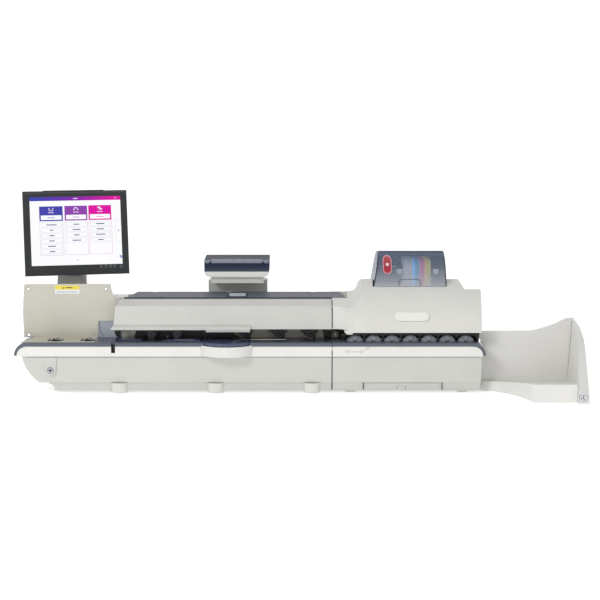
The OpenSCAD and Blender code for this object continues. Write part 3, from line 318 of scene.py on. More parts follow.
# Ink tanks, with a painted glow so that they show through the smoked cover
TANK_COLOURS = {
    "tank_grey": (226, 232, 238), "tank_cyan": (110, 196, 246), "tank_magenta": (236, 140, 186),
    "tank_yellow": (246, 236, 120),
}
for name, rgb in TANK_COLOURS.items():
    M[name] = painted_glow(name, rgb)

# Bar along the top of the screen: ten steps through three colours
BAR_LEFT = (62, 64, 176)
BAR_MIDDLE = (140, 30, 172)
BAR_RIGHT = (222, 0, 158)
for step in range(10):
    share = step / 4.5
    low, high = (BAR_LEFT, BAR_MIDDLE) if share < 1 else (BAR_MIDDLE, BAR_RIGHT)
    share = share if share < 1 else share - 1
    M[f"bar_{step}"] = glowing(f"bar_{step}", tuple(a + (b - a) * share for a, b in zip(low, high)))

# Material and edge rounding in mm, then the nodes that take them
LOOKS = (
    ("dark_metal", 0.3, ("feeder_chassis", "printer_chassis")),
    ("dark_metal", 0.5, ("feed_motor",)),
    ("plated", 0.5, ("power_supply", "screws")),
    ("plated", 0.4, ("cam_lock",)),
    ("steel", 0.3, ("guide_panel",)),
    # Front casings and feeder cover take the darker cream, painted shade
    ("cream_shade_painted", 1.2, ("feeder_front_casing", "printer_front_casing", "feeder_cover")),
    ("cream", 1.0, ("feeder_rear_casing", "printer_rear_casing")),
    ("cream", 1.5, ("tower_body",)),
    ("cream", 2.0, ("printer_hood",)),
    # Stacker and pod take the lighter cream, painted light
    ("cream_light_painted", 1.5, ("stacker_tray",)),
    ("cream_light_painted", 3.0, ("front_pod",)),
    ("cream_base_shade_painted", 0.8, ("base_tray",)),
    ("slate", 1.2, ("feeder_deck", "printer_deck")),
    ("blue_grey", 0.5, ("entry_wall",)),
    ("wall", 0.5, ("transport_wall",)),
    ("navy", 1.6, ("pod_cap",)),
    ("foot", 1.5, ("feet",)),
    ("pad", 1.5, ("stacker_pad",)),
    ("black", 0.4, ("registration_plate",)),
    ("black", 0.5, ("power_inlet",)),
    ("black", 0.6, ("ink_bay", "roller_arms")),
    ("black", 0.8, ("print_head",)),
    ("ink", 1.0, ("ink_tanks",)),
    ("bottle", 2.0, ("fluid_bottle",)),
    ("post", 1.0, ("swivel_bracket",)),
    ("post", 2.0, ("display_post",)),
    ("bezel", 1.2, ("display_bezel",)),
    ("bezel", 1.5, ("display_back",)),
    ("screen", 0.0, ("display_screen",)),
    ("button", 0.6, ("power_button", *(f"menu_button_{number}" for number in range(1, 5)))),
    ("lid", 0.8, ("top_lid",)),
    ("ink_cover", 0.8, ("ink_cover",)),
    ("tower", 1.0, ("tower_lid",)),
    ("black_rubber", 0.4, tuple(f"feed_roller_{number}" for number in range(1, 3))),
    ("black_rubber", 0.4, tuple(f"weigh_roller_{number}" for number in range(1, 4))),
    ("grey_rubber", 0.4, ("separator_roller", "retard_roller", "transfer_roller")),
    ("grey_rubber", 0.5, tuple(f"platen_roller_{number}" for number in range(1, 8))),
)

# Casings whose flat faces are pierced by louvres: their triangles stay as they are
LOUVRED = ("feeder_rear_casing", "printer_rear_casing")


def soften(piece, radius, angle=28):
    """Rounded edges: flat areas are merged, edges are bevelled, and the shading follows the flats."""
    weld = piece.modifiers.new("weld", "WELD")
    weld.merge_threshold = 0.00002
    if piece.name not in LOUVRED:
        merge = piece.modifiers.new("merge", "DECIMATE")
        merge.decimate_type = "DISSOLVE"
        merge.angle_limit = math.radians(0.5)
        merge.delimit = {"MATERIAL"}
    if radius:
        round_over = piece.modifiers.new("round", "BEVEL")
        round_over.width = radius * MM
        round_over.segments = 2
        round_over.limit_method = "ANGLE"
        round_over.angle_limit = math.radians(angle)
        round_over.miter_outer = "MITER_ARC"
    follow = piece.modifiers.new("follow", "WEIGHTED_NORMAL")
    follow.keep_sharp = True
    follow.weight = 60


for finish, radius, nodes in LOOKS:
    for node in nodes:
        piece = NODES[node]
        piece.data.materials.clear()
        piece.data.materials.append(M[finish])
        for polygon in piece.data.polygons:
            polygon.use_smooth = True
            polygon.material_index = 0
        soften(piece, radius)

# ---- Building custom pieces ----


def prism_faces(n):
    """The faces between two outlines of n points, and the two ends."""
    sides = [[i, (i + 1) % n, n + (i + 1) % n, n + i] for i in range(n)]
    return [list(range(n))[::-1], list(range(n, 2 * n)), *sides]


def extrusion(axis, outline, low, high):
    """A closed outline in the two other axes, in x, y, z order, carried from low to high along axis."""
    slot = "xyz".index(axis)
    verts = []
    for level in (low, high):
        for point in outline:
            place = list(point)
            place.insert(slot, level)
            verts.append(tuple(place))
    return verts, prism_faces(len(outline))


def turned(axis, centre, profile, steps=48):
    """A closed (radius, distance) profile turned about an axis through centre."""
    slot = "xyz".index(axis)
    u, v = [i for i in range(3) if i != slot]
    verts = []
    for step in range(steps):
        angle = 2 * math.pi * step / steps
        for radius, distance in profile:
            place = list(centre)
            place[slot] += distance
            place[u] += radius * math.cos(angle)
            place[v] += radius * math.sin(angle)
            verts.append(tuple(place))
    n = len(profile)
    faces = []
    for step in range(steps):
        a, b = step * n, (step + 1) % steps * n
        faces += [[a + i, a + (i + 1) % n, b + (i + 1) % n, b + i] for i in range(n)]
    return verts, faces


def ring(axis, centre, inner, outer, low, high, steps=48):
    return turned(axis, centre, [(inner, low), (outer, low), (outer, high), (inner, high)], steps)


def rounded(low, high, radius, steps=5):
    """A rectangle with rounded corners, from corner low to corner high."""
    points = []
    for cx, cy, start in ((high[0] - radius, high[1] - radius, 0), (low[0] + radius, high[1] - radius, 90),
                          (low[0] + radius, low[1] + radius, 180), (high[0] - radius, low[1] + radius, 270)):
        for i in range(steps + 1):
            a = math.radians(start + 90 * i / steps)
            points.append((cx + radius * math.cos(a), cy + radius * math.sin(a)))
    return points


def circle(cx, cy, radius, steps=40, start=0.0, sweep=360.0):
    """Points of a circle, or of an arc that includes its last point when sweep is under 360 degrees."""
    angles = [math.radians(start + sweep * i / steps) for i in range(steps + (sweep < 360))]
    return [(cx + radius * math.cos(a), cy + radius * math.sin(a)) for a in angles]


def moved(origin, points):
    return [(origin[0] + u, origin[1] + v) for u, v in points]


def shape(axis, finish, origin, points, low, high):
    """An extrusion with its finish, from points given about an origin in the two other axes."""
    return extrusion(axis, moved(origin, points), low, high), finish


def plate(axis, finish, near, far, low, high, radius=0.0):
    """A rectangular extrusion with its finish, between corners near and far, rounded by radius."""
    outline = rounded(near, far, radius) if radius else [near, (far[0], near[1]), far, (near[0], far[1])]
    return extrusion(axis, outline, low, high), finish


def tube(path, radius, closed=False, sides=8):
    """A round wire along a path of points."""
    verts, faces = [], []
    count = len(path)
    points = [Vector(p) for p in path]
    for i, point in enumerate(points):
        before = points[i - 1] if i or closed else point
        after = points[(i + 1) % count] if i + 1 < count or closed else point
        along = (after - before).normalized()
        side = along.cross(Vector((0.13, 0.99, 0.07))).normalized()
        up = side.cross(along)
        for k in range(sides):
            a = 2 * math.pi * k / sides
            verts.append(tuple(point + radius * (math.cos(a) * side + math.sin(a) * up)))
    for i in range(count if closed else count - 1):
        a, b = i * sides, (i + 1) % count * sides
        faces += [[a + k, a + (k + 1) % sides, b + (k + 1) % sides, b + k] for k in range(sides)]
    if not closed:
        faces += [list(range(sides))[::-1], list(range((count - 1) * sides, count * sides))]
    return verts, faces


def assemble(name, body, parts, radius=0.0, place=None, angle=30):
    """One piece from several shapes in mm, each with its own finish, riding on body."""
    mesh = bpy.data.meshes.new(name)
    verts, faces, slots, finishes = [], [], [], []
    for (points, polygons), finish in parts:
        if finish not in finishes:
            finishes.append(finish)
        start = len(verts)
        verts += [tuple(c * MM for c in p) for p in points]
        faces += [[start + i for i in polygon] for polygon in polygons]
        slots += [finishes.index(finish)] * len(polygons)
    mesh.from_pydata(verts, [], faces)
    for finish in finishes:
        mesh.materials.append(M[finish])
    mesh.polygons.foreach_set("material_index", slots)
    work = bmesh.new()
    work.from_mesh(mesh)
    bmesh.ops.recalc_face_normals(work, faces=work.faces[:])
    work.to_mesh(mesh)
    work.free()
    if place is not None:
        mesh.transform(place)
    mesh.polygons.foreach_set("use_smooth", [True] * len(mesh.polygons))
    piece = bpy.data.objects.new(name, mesh)
    bpy.context.scene.collection.objects.link(piece)
    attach(piece, body)
    soften(piece, radius, angle=angle)
    return piece


def span(node):
    """The box of a CAD node in mm."""
    low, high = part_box(node)
    return Vector([c / MM for c in low]), Vector([c / MM for c in high])


trees = {}


def drape(node, x, z, lift=0.0):
    """The point on a CAD node that is met from the front at x, z, raised by lift, all in mm."""
    if node not in trees:
        mesh = NODES[node].data
        trees[node] = BVHTree.FromPolygons([v.co for v in mesh.vertices], [p.vertices for p in mesh.polygons])
    hit, normal, _, _ = trees[node].ray_cast(Vector((x * MM, -1.0, z * MM)), Vector((0, 1, 0)))
    if hit is None:
        return (x, 0.0, z)
    if normal.y > 0:
        normal = -normal
    return tuple((hit + normal * lift * MM) / MM)


def draped_line(node, path, radius, lift=0.0, closed=False, steps=1):
    points = []
    count = len(path) if closed else len(path) - 1
    for i in range(count):
        (x0, z0), (x1, z1) = path[i], path[(i + 1) % len(path)]
        for k in range(steps):
            points.append(drape(node, x0 + (x1 - x0) * k / steps, z0 + (z1 - z0) * k / steps, lift))
    if not closed:
        points.append(drape(node, *path[-1], lift))
    return tube(points, radius, closed)


def draped_patch(node, outline, thick, lift=0.05, rows=14):
    """A plate of even thickness that follows a CAD surface inside a convex outline."""
    zs = [p[1] for p in outline]
    low, high = min(zs), max(zs)
    verts, faces = [], []
    for row in range(rows + 1):
        z = low + (high - low) * (0.5 - 0.5 * math.cos(math.pi * row / rows))
        z = min(max(z, low + 0.02), high - 0.02)
        xs = []
        for (x0, z0), (x1, z1) in zip(outline, outline[1:] + outline[:1]):
            if (z0 - z) * (z1 - z) <= 0 and z0 != z1:
                xs.append(x0 + (x1 - x0) * (z - z0) / (z1 - z0))
        for x in (min(xs), (min(xs) + max(xs)) / 2, max(xs)):
            verts.append(drape(node, x, z, lift))
        for x in (min(xs), (min(xs) + max(xs)) / 2, max(xs)):
            verts.append(drape(node, x, z, lift + thick))
    for row in range(rows):
        a, b = 6 * row, 6 * (row + 1)
        for i in (0, 1):
            faces += [[a + i, a + i + 1, b + i + 1, b + i], [a + 3 + i, b + 3 + i, b + 4 + i, a + 4 + i]]
        faces += [[a, b, b + 3, a + 3], [a + 2, a + 5, b + 5, b + 2]]
    last = 6 * rows
    faces += [[0, 3, 4, 1], [1, 4, 5, 2]]
    faces += [[last + i, last + i + 1, last + i + 4, last + i + 3] for i in (0, 1)]
    return verts, faces


def second_finish(node, finish, wanted):
    """Gives the faces of a CAD node that pass a test on their middle, in mm, and normal a second material."""
    mesh = NODES[node].data
    mesh.materials.append(M[finish])
    index = len(mesh.materials) - 1
    for polygon in mesh.polygons:
        if wanted(*(c / MM for c in polygon.center), polygon.normal):
            polygon.material_index = index


# ---- Main places, read from the frame ----

panel_low, panel_high = span("guide_panel")
cover_box = span("feeder_cover")
hood_box = span("printer_hood")
lid_box = span("top_lid")
pod_box = span("front_pod")
band_high = span("printer_front_casing")[1]
end_x = span("stacker_tray")[1].x
deck_z = panel_low.z
seam_x = (cover_box[1].x + hood_box[0].x) / 2
y_front = span("feeder_deck")[0].y
y_wall = panel_high.y

# Second colours on CAD nodes
# The shelf band is the casing's own cream; its white is a painted highlight
BAND_Z, BAND_DEPTH = 122.5, 22  # underside and depth of the white shelf band
BASE_Z = 33  # top of the set-back base
SLOPE_Z = 270  # foot of the feeder cover's slope
COLLAR_Z, NECK_Z, NECK_Y = 352, 333, 274  # tower: underside of the collar, top and rear of the shaded neck
for casing in ("feeder_front_casing", "printer_front_casing"):
    # White on the shelf band is a painted highlight
    second_finish(casing, "white", lambda x, y, z, n: z > BAND_Z and y < y_front + BAND_DEPTH)
    # The set-back base takes the darker cream as painted shade
    second_finish(casing, "cream_base_shade_painted", lambda x, y, z, n: z < BASE_Z)
# The upward faces of the cover's slope take a darker cream as painted shade
second_finish("feeder_cover", "cream_slope_shade_painted", lambda x, y, z, n: n.z > 0.85 and z > SLOPE_Z)
second_finish("tower_body", "white", lambda x, y, z, n: z > COLLAR_Z)
# The tower's neck below the collar is grey as painted shade from the overhang
second_finish("tower_body", "neck_painted_shade", lambda x, y, z, n: z < NECK_Z and y < NECK_Y)
# Upward faces of the tower lid take a darker finish as painted shade
second_finish("tower_lid", "lid_top_shade_painted", lambda x, y, z, n: n.z > 0.5)
ink_low, ink_high = span("ink_cover")
# Top, rear and end faces of the ink cover take darker finishes as painted shade
second_finish("ink_cover", "ink_top_painted_shade", lambda x, y, z, n: n.z > 0.93 or y > ink_high.y - 32)
second_finish("ink_cover", "ink_side_painted_shade", lambda x, y, z, n: abs(n.x) > 0.7)
# Ink tanks: finish, middle and half width of the faces that take it
TANKS = (("tank_red", 291.5, 17.5), ("tank_grey", 365.5, 17.5), ("tank_cyan", 395, 9.2),
         ("tank_magenta", 412, 9.2), ("tank_yellow", 430, 9.2))
for finish, middle, half in TANKS:
    second_finish("ink_tanks", finish, lambda x, y, z, n, m=middle, h=half: abs(x - m) < h)

# ---- Feeder ----

face_y = y_wall - 1.2
# Rims round the panel's holes, darker as painted shade of the holes' edges
assemble("panel_hole_rims", "base", [
    (ring("y", (x, face_y, deck_z + z), 4.7, 6.5, -0.35, 0.1, 32), "steel_painted_shade")
    for x, z in ((panel_high.x - 53, 161), (panel_low.x + 20, 161), (panel_low.x + 19, 9))])

left, right = panel_low.x + 107, panel_low.x + 187
foot, top = deck_z + 145, deck_z + 172
mark = (left + 30, foot)
label = [
    plate("y", "label_white", (left, foot), (right, top), face_y - 0.25, face_y, 1.5),
    plate("y", "label_yellow", (left + 0.3, foot + 13.5), (right - 0.3, top - 0.3),
          face_y - 0.4, face_y - 0.2, 1.3),
    shape("y", "print_dark", mark, [(-6, 17), (1, 17), (-2.5, 23)], face_y - 0.5, face_y - 0.3),
    shape("y", "print_dark", mark, rounded((5, 18.4), (28, 21.2), 1), face_y - 0.5, face_y - 0.3)]
for row, z in enumerate((3, 5.6, 8.2)):
    label.append(plate("y", "print_grey", (left + 3, foot + z), (right - 4 - 6 * (row % 2), foot + z + 1.1),
                       face_y - 0.35, face_y - 0.2, 0.5))
assemble("panel_label", "base", label)
screw_head = [(0, -1.8), (2.2, -1.4), (3.2, 0), (0, 0)]
assemble("shoulder_screw", "base", [
    (turned("y", (panel_high.x - 6, y_wall + 4, deck_z + 126.5), screw_head, 24), "shadow")])

# Curved seam on the entry wall
wall_low, wall_high = span("entry_wall")
seam = []
for degrees in range(0, 91, 10):
    a = math.radians(degrees)
    seam.append((wall_low.x + 30 + 16 * (1 - math.cos(a)), y_wall + 0.1, wall_high.z - 1 - 54 * math.sin(a)))
assemble("entry_wall_seam", "base", [(tube(seam, 0.7), "shadow")])

# Feed rollers: two rows of leaning treads, two in every three pale as a painted highlight
TREADS, TREAD_LEAN = 24, 0.22
for number in (1, 2):
    low, high = span(f"feed_roller_{number}")
    cx, cz, start = (low.x + high.x) / 2, (low.z + high.z) / 2, low.y + 6
    treads = []
    for fin in range(TREADS):
        a = 2 * math.pi * fin / TREADS
        corners = [(27.5, a), (27.5, a + 0.07), (30.2, a + (TREAD_LEAN + 0.05)), (30.2, a + TREAD_LEAN)]
        for near, far, turn in ((1, 18.5, 1), (20.5, 39, -1)):
            quad = [(cx + r * math.cos(t * turn), cz + r * math.sin(t * turn)) for r, t in corners][::turn]
            treads.append((extrusion("y", quad, start + near, start + far),
                           "tread_highlight" if fin % 3 else "tread_dark"))
    assemble(f"feed_tread_{number}", f"feed_roller_{number}", treads, 0.3)

# Painted shadow lines under the shelf band and above the base: casing, right end, left ends of both lines
shadow_lines = []
for node, right, starts in (("feeder_front_casing", seam_x - 3, (panel_low.x + 26, panel_low.x + 98)),
                            ("printer_front_casing", band_high.x - 12, (seam_x + 3, seam_x + 3))):
    for left, z, tall in zip(starts, (117.5, 29.5), (2.4, 1.8)):
        y = drape(node, (starts[0] + right) / 2 + 31, z)[1]
        shadow_lines.append(plate("x", "painted_shadow_line", (y - 0.15, z), (y + 1.5, z + tall), left, right))
assemble("casing_painted_shadow_lines", "base", shadow_lines)

# Cam lock: ring and lobed keyway
lock_low, lock_high = span("cam_lock")
lock = ((lock_low.x + lock_high.x) / 2, lock_low.y, lock_low.z + 9)
lock_face = [
    (turned("y", lock, [(7.4, -1.0), (8.8, -1.0), (9.4, -0.4), (9.4, 0.3), (7.4, 0.3)], 40), "plated"),
    (ring("y", lock, 9.2, 10.3, -0.25, 0.3, 40), "dark_metal"),
    (turned("y", lock, [(0, -0.4), (5.4, -0.4), (7.4, 0.1), (7.4, 0.3), (0, 0.3)], 32), "plated")]
for lobe in (circle(0, 0.8, 3.2, 20), rounded((-6.2, -0.8), (0.5, 3.0), 1.6),
             rounded((-0.5, -0.2), (6.0, 2.4), 1.2), rounded((-1.5, -6.2), (1.5, 0.5), 1.2)):
    lock_face.append(shape("y", "shadow", (lock[0], lock[2]), lobe, lock[1] - 0.6, lock[1]))
assemble("lock_face", "cam_lock", lock_face, 0.15)
slot_x = cover_box[0].x + 14
# Dark plate in the slot in the shelf, painted shade
assemble("slot_painted_shade", "base", [
    plate("y", "shadow", (slot_x - 6.3, deck_z - 32.8), (slot_x + 6.3, deck_z - 6),
          y_front + 12, y_front + 13.5, 3)])

# Cover and hood: engraved circles, a capsule outline and two slanting lines
capsule = rounded((-248, 219), (96, 238), 8)
assemble("cover_engraving", "feeder_cover", [
    (draped_line("feeder_cover", circle(-294, 241, 34, 48), 0.28, closed=True), "engraved"),
    (draped_line("feeder_cover", capsule, 0.28, closed=True, steps=2), "engraved")])
assemble("hood_engraving", "base", [
    (draped_line("printer_hood", circle(147, 236, 34, 40, -88, 350), 0.28), "engraved"),
    (draped_line("printer_hood", [(186, 262), (252, 326)], 0.3, steps=14), "engraved"),
    (draped_line("printer_hood", [(198, 258), (262, 320)], 0.3, steps=14), "engraved")])

# Grip of the long lid and the recesses past its two ends, each recess with a painted shadow at its tip
lid_front = lid_box[0].y
LID_SLOPE = 0.0474
CUP_TILT = 0.12


def lid_z(y):
    return lid_box[0].z + 3.0 + (y - lid_front) * LID_SLOPE


def lid_plate(middle, points, finish, rise, thick, tilt=0.0):
    """A plate that lies along the lid, its top tilted up towards the rear."""
    outline = moved((middle, lid_front), points)
    verts = [(x, y, lid_z(y) + rise) for x, y in outline]
    verts += [(x, y, lid_z(y) + rise + thick + (y - lid_front) * tilt) for x, y in outline]
    return (verts, prism_faces(len(outline))), finish


grip_x = (lid_box[0].x + lid_box[1].x) / 2 + 3
assemble("lid_grip", "top_lid", [
    lid_plate(grip_x, rounded((-34, 0.5), (34, 56), 10), "lid_dark", -0.6, 1.2, CUP_TILT),
    lid_plate(grip_x, rounded((-27, 11), (27, 45), 7), "lid_pale", -0.2, 1.2, CUP_TILT)], 0.5)
end = lid_box[0].x
assemble("lid_end_recess_left", "base", [
    lid_plate(end, [(-2, 6), (-9, 7), (-12, 12), (-4, 26), (14, 56), (3, 12)], "shadow", -5.2, 3.8),
    lid_plate(end, [(1, 10), (-6, 10.5), (-8, 14), (12, 50)], "dish", -2.2, 1.4)], 0.4)
end = lid_box[1].x
assemble("lid_end_recess_right", "base", [
    lid_plate(end, [(-3, 12), (-14, 56), (-4, 44), (3.6, 16), (3.4, 8), (1, 7)], "shadow", -8.6, 7.4),
    lid_plate(end, [(-2, 12), (-12, 50), (2.4, 15), (1.5, 10)], "dish", -2.2, 1.6)], 0.4)

# ---- Under the cover ----

WEIGHERS = ("weigh_roller_1", "weigh_roller_2", "weigh_roller_3")
rollers = {}
for node in ("separator_roller", "retard_roller", *WEIGHERS, "transfer_roller"):
    low, high = span(node)
    centre = ((low.x + high.x) / 2, low.y, (low.z + high.z) / 2)
    rollers[node] = centre
    web, boss = ("tan_rubber", "hub_bright") if node == "transfer_roller" else ("hub_grey", "hub_grey")
    rim = (high.x - low.x) / 2
    parts = [(ring("y", centre, rim - 3.2, rim - 0.6, 0.6, 1.6), web),
             (turned("y", centre, [(0, -1.2), (2.4, -1.0), (3.6, 0.2), (3.6, 3), (0, 3)], 24), boss)]
    for spoke in range(5):
        a = 2 * math.pi * spoke / 5
        c, s = math.cos(a), math.sin(a)
        corners = ((3, 0.9), (3, -0.9), (rim - 3, -0.7), (rim - 3, 0.7))
        outline = [(r * c - w * s, r * s + w * c) for r, w in corners]
        parts.append(shape("y", web, (centre[0], centre[2]), outline, centre[1] + 1.0, centre[1] + 2.2))
    assemble(f"{node}_hub", node, parts, 0.25)

separator_x, retard_x = rollers["separator_roller"][0], rollers["retard_roller"][0]
arm_y = rollers["separator_roller"][1] + 2.6
diamond = (separator_x - 57, deck_z + 25)
assemble("nip_diamond", "base", [
    shape("y", "white", diamond, [(7, 0), (0, 7), (-7, 0), (0, -7)], arm_y - 2, arm_y),
    shape("y", "shadow", diamond, circle(0, 0, 2.6, 20), arm_y - 2.3, arm_y - 1),
    shape("y", "black", diamond, [(-4, 4), (3, 7), (3, 14), (-4, 14)], arm_y - 1, y_wall)], 0.3)

# Black housings round the nips: outlines about each roller's middle, from just above the deck up
weigher_housing = [(-46, 42.5), (-44, 37.5), (2, 12), (16, 4), (20, 20), (20, 42.5)]
transfer_housing = [(-36, 0), (-16, 0), (-16, 42.5), (-44, 42.5), (-40, 20)]
outlines = [
    (separator_x, [(-118, 3), (-104, 0), (-104, 42), (-124, 42), (-122, 14)]),
    (separator_x, [(-58, 0), (-14, 0), (-14, 42), (-46, 42), (-52, 22)]),
    (separator_x, [(14, 0), (44, 0), (60, 14), (64, 42), (14, 42)]),
    (retard_x, [(8, 0), (92, 0), (84, 16), (90, 42), (20, 42)]),
    (retard_x, [(94, 0), (204, 0), (140, 42), (92, 42), (88, 16)]),
    (retard_x, [(-30, 0), (0, 0), (0, 42), (-18, 42), (-26, 20)])]
outlines += [(rollers[node][0], weigher_housing) for node in WEIGHERS]
outlines.append((rollers["transfer_roller"][0], transfer_housing))
assemble("nip_housings", "base", [
    shape("y", "black", (x, deck_z + 1.5), points, y_wall - 6, y_wall - 0.4) for x, points in outlines], 0.6)

# Guides on the deck: dark liner, two wedges, pale strips and two rubber pads
plate_y = y_front + 58
entry_x = wall_low.x + 98
wedge = (retard_x - 40, plate_y)
strip_x = rollers["weigh_roller_1"][0] - 18
guides = [
    plate("z", "deck_dark", (wall_low.x + 3, y_front + 30), (seam_x - 4, y_wall - 0.6),
          deck_z + 0.02, deck_z + 0.5),
    plate("z", "navy", (entry_x, plate_y), (entry_x + 78, y_wall - 1.4), deck_z + 0.1, deck_z + 3.2, 4),
    (extrusion("z", [(wedge[0], plate_y - 20), (wedge[0] + 118, plate_y - 20), (wedge[0] + 118, y_wall - 8),
                     (wedge[0] + 34, y_wall - 8)], deck_z + 0.1, deck_z + 3.4), "navy"),
    shape("z", "white", wedge, rounded((36, -12), (100, -9.5), 1), deck_z + 3.3, deck_z + 3.7),
    shape("z", "white", (strip_x, plate_y), rounded((0, 14), (150, 22), 3), deck_z + 0.1, deck_z + 1.6)]
for x in (separator_x, rollers["weigh_roller_3"][0]):
    pad = rounded((-11, -40), (11, -24), 5)
    guides.append(shape("z", "tan_rubber", (x, y_wall), pad, deck_z + 0.1, deck_z + 1.8))
assemble("deck_guides", "base", guides, 0.8)

# Rivet head and small coil on each nip arm
details = []
rivets = [(node, -26, y_wall - 22) for node in WEIGHERS]
rivets += [("separator_roller", 24, arm_y), ("retard_roller", 25, arm_y)]
for node, x, y in rivets:
    cx, _, cz = rollers[node]
    head = turned("y", (cx + x, y, cz + 16), [(0, -1.6), (2.2, -1.4), (2.8, -0.2), (2.8, 0.4), (0, 0.4)], 20)
    coil = [(cx + 22 + 2.4 * math.cos(k / 2), y_wall - 30 + 2.4 * math.sin(k / 2), cz + 4 + k / 2 * 0.42)
            for k in range(64)]
    details += [(head, "plated"), (tube(coil, 0.5), "hub_grey")]
assemble("arm_hardware", "base", details)


# ---- Seam between the modules, and the pod ----


def skin_line(node, x, heights, proud):
    """The side view line of a CAD surface at x, moved out by proud."""
    return [tuple(drape(node, x, z, proud)[1:]) for z in heights]


side_x = seam_x + 9
lower = skin_line("printer_front_casing", side_x, (10.6, 20, 32, 36, 60, 90, 117, 125, 140, 155), 0.4)
lower += [(y_front + 6, deck_z - 1.4), (y_wall - 1, deck_z - 1.4), (y_wall - 1, 10.6)]
upper = skin_line("printer_hood", side_x, (211, 225, 240, 260, 276, 281, 287, 293), 0.4)
upper += [(lid_front - 3, 291), (y_wall - 3, 291), (y_wall - 3, 211)]
assemble("seam_gasket", "base", [
    (extrusion("x", lower, seam_x - 1.6, seam_x + 1.6), "shadow"),
    (extrusion("x", upper, seam_x - 0.5, seam_x + 2.4), "shadow")])

# Raised half-round step on the pod's glossy cap
pod = ((pod_box[0].x + pod_box[1].x) / 2, pod_box[0].y + 92)
assemble("pod_cap_ring", "base", [
    shape("z", "navy", pod, circle(0, 0, 72, 40, 180, 180), deck_z + 1.3, deck_z + 2.1)], 0.4)

# ---- Printer ----

# Platen rollers: a dished rim, swept blades on its face and short ribs round it; the blades alternate painted
# light and painted shade, and the ribs take the painted shade
BLADES = 14
BLADE = ((12, 0), (19, 0.16), (26.2, 0.4), (27.4, 0.47), (20, 0.27), (12, 0.14))
RIB = ((27.2, 0.0), (27.2, 0.1), (28.4, 0.2), (28.4, 0.14))
for number in range(1, 8):
    low, high = span(f"platen_roller_{number}")
    cx, cz = (low.x + high.x) / 2, (low.z + high.z) / 2
    front = low.y + 2
    rim = [(9, 3), (11, -1.2), (13, -1.4), (24.6, 0.3), (27.6, 2.6), (27.6, 4), (9, 4)]
    parts = [(turned("y", (cx, front, cz), rim, 64), "fin_grey")]
    for fin in range(BLADES):
        a = 2 * math.pi * fin / BLADES
        blade, rib = ([(cx + r * math.cos(a + sweep), cz + r * math.sin(a + sweep)) for r, sweep in swept]
                      for swept in (BLADE, RIB))
        parts.append((extrusion("y", blade, front - 1.9, front + 2), "fin_painted_light" if fin % 2 else "fin_painted_shade"))
        parts.append((extrusion("y", rib, front + 4, front + 38), "fin_painted_shade"))
    assemble(f"platen_fins_{number}", f"platen_roller_{number}", parts, 0.35)

# Badge on the hood; the line offset down and right round it is a painted shadow
badge = rounded((314, 234), (426, 262), 13.9, 8)
assemble("hood_badge", "base", [
    (draped_patch("printer_hood", badge, 2.4, 0.0, 16), "badge"),
    (draped_line("printer_hood", moved((0.7, -0.7), badge), 0.7, 0.1, True), "painted_shadow_line")], 0.6)
lip = [(0, 203), (30, 203), (30, 193), (24, 189.5), (12, 190), (4, 194)]
assemble("hood_lip", "base", [
    shape("y", "cream", (hood_box[0].x + 38, 0), lip, hood_box[0].y + 4, hood_box[0].y + 60)], 1.2)

# Plain mark on the shelf band: three squares joined by two lines
ICON = (160, 137)
icon = [(rounded((x - 4, z - 4), (x + 4, z + 4), 1), True, 1) for x, z in ((0, 0), (46, 0), (68, 13))]
icon += [([(4, 0), (42, 0)], False, 4), ([(50, 1), (64, 10)], False, 4)]
assemble("band_icon", "base", [
    (draped_line("printer_front_casing", moved(ICON, path), 0.4, 0.1, closed, steps), "joint_line")
    for path, closed, steps in icon])

# Catches on the pull-out tray
low, high = span("base_tray")
mid = (low.x + high.x) / 2
tabs = []
for x in (mid - 13, mid + 13):
    tabs += [plate("y", "shadow", (x - 5, 11), (x + 5, 20.5), low.y + 2.0, low.y + 3.2, 1.5),
             plate("y", "cream", (x - 3.2, 12.6), (x + 5.4, 20.4), low.y + 1.2, low.y + 3, 1.2)]
assemble("tray_catches", "base_tray", tabs, 0.3)

# Black plate at the exit end of the platen rollers, painted shade where the stacker meets the printer
assemble("exit_painted_shade", "base", [
    shape("y", "black", (hood_box[1].x, deck_z), [(-14, -10), (-8, -10), (-4, 35), (-14, 35)],
          y_front + 48, y_wall + 2)], 0.8)

# Dark slots at both ends of the tray
assemble("tray_end_slots", "base", [
    plate("y", "shadow", (x, 11), (x + 1.8, 33), low.y - 0.3, low.y + 3)
    for x in (low.x - 1.2, high.x - 0.6)])

# Ink cover: framed edges, pull, highlight and a red marker
ink_mid = (ink_low.x + ink_high.x) / 2
sides = ([], [])
for k in range(19):
    z = ink_low.z + 7 + (ink_high.z - ink_low.z - 11) * k / 18
    share = (z - ink_low.z) / 117
    sides[0].append(drape("ink_cover", ink_mid + (-118.2 + 21 * share), z))
    sides[1].append(drape("ink_cover", ink_mid + (118.2 - share), z))
top_edge = [drape("ink_cover", ink_mid - 97 + 213 * k / 12, ink_high.z - 2.6, 0.2) for k in range(13)]
bottom_edge = [drape("ink_cover", ink_mid - 118 + 236 * k / 12, ink_low.z + 7.2, 0.2) for k in range(13)]
pull_half = [(35, 0), (35, 13), (32, 19), (27, 21.5)]
pull = moved((ink_mid, 341), [(-x, z) for x, z in pull_half] + pull_half[::-1])
highlight = [(ink_mid - 108, 402), (ink_mid - 44, 402)]
assemble("ink_cover_trim", "ink_cover", [
    (tube(sides[0], 1.5), "cover_edge"), (tube(sides[1], 1.5), "cover_edge"),
    (tube(top_edge, 1.6), "cover_edge"), (tube(bottom_edge, 1.2), "cover_edge"),
    (draped_line("ink_cover", pull, 0.8, 0.1, steps=3), "cover_edge"),
    (draped_line("ink_cover", highlight, 0.35, 0.1, steps=4), "cover_line")])
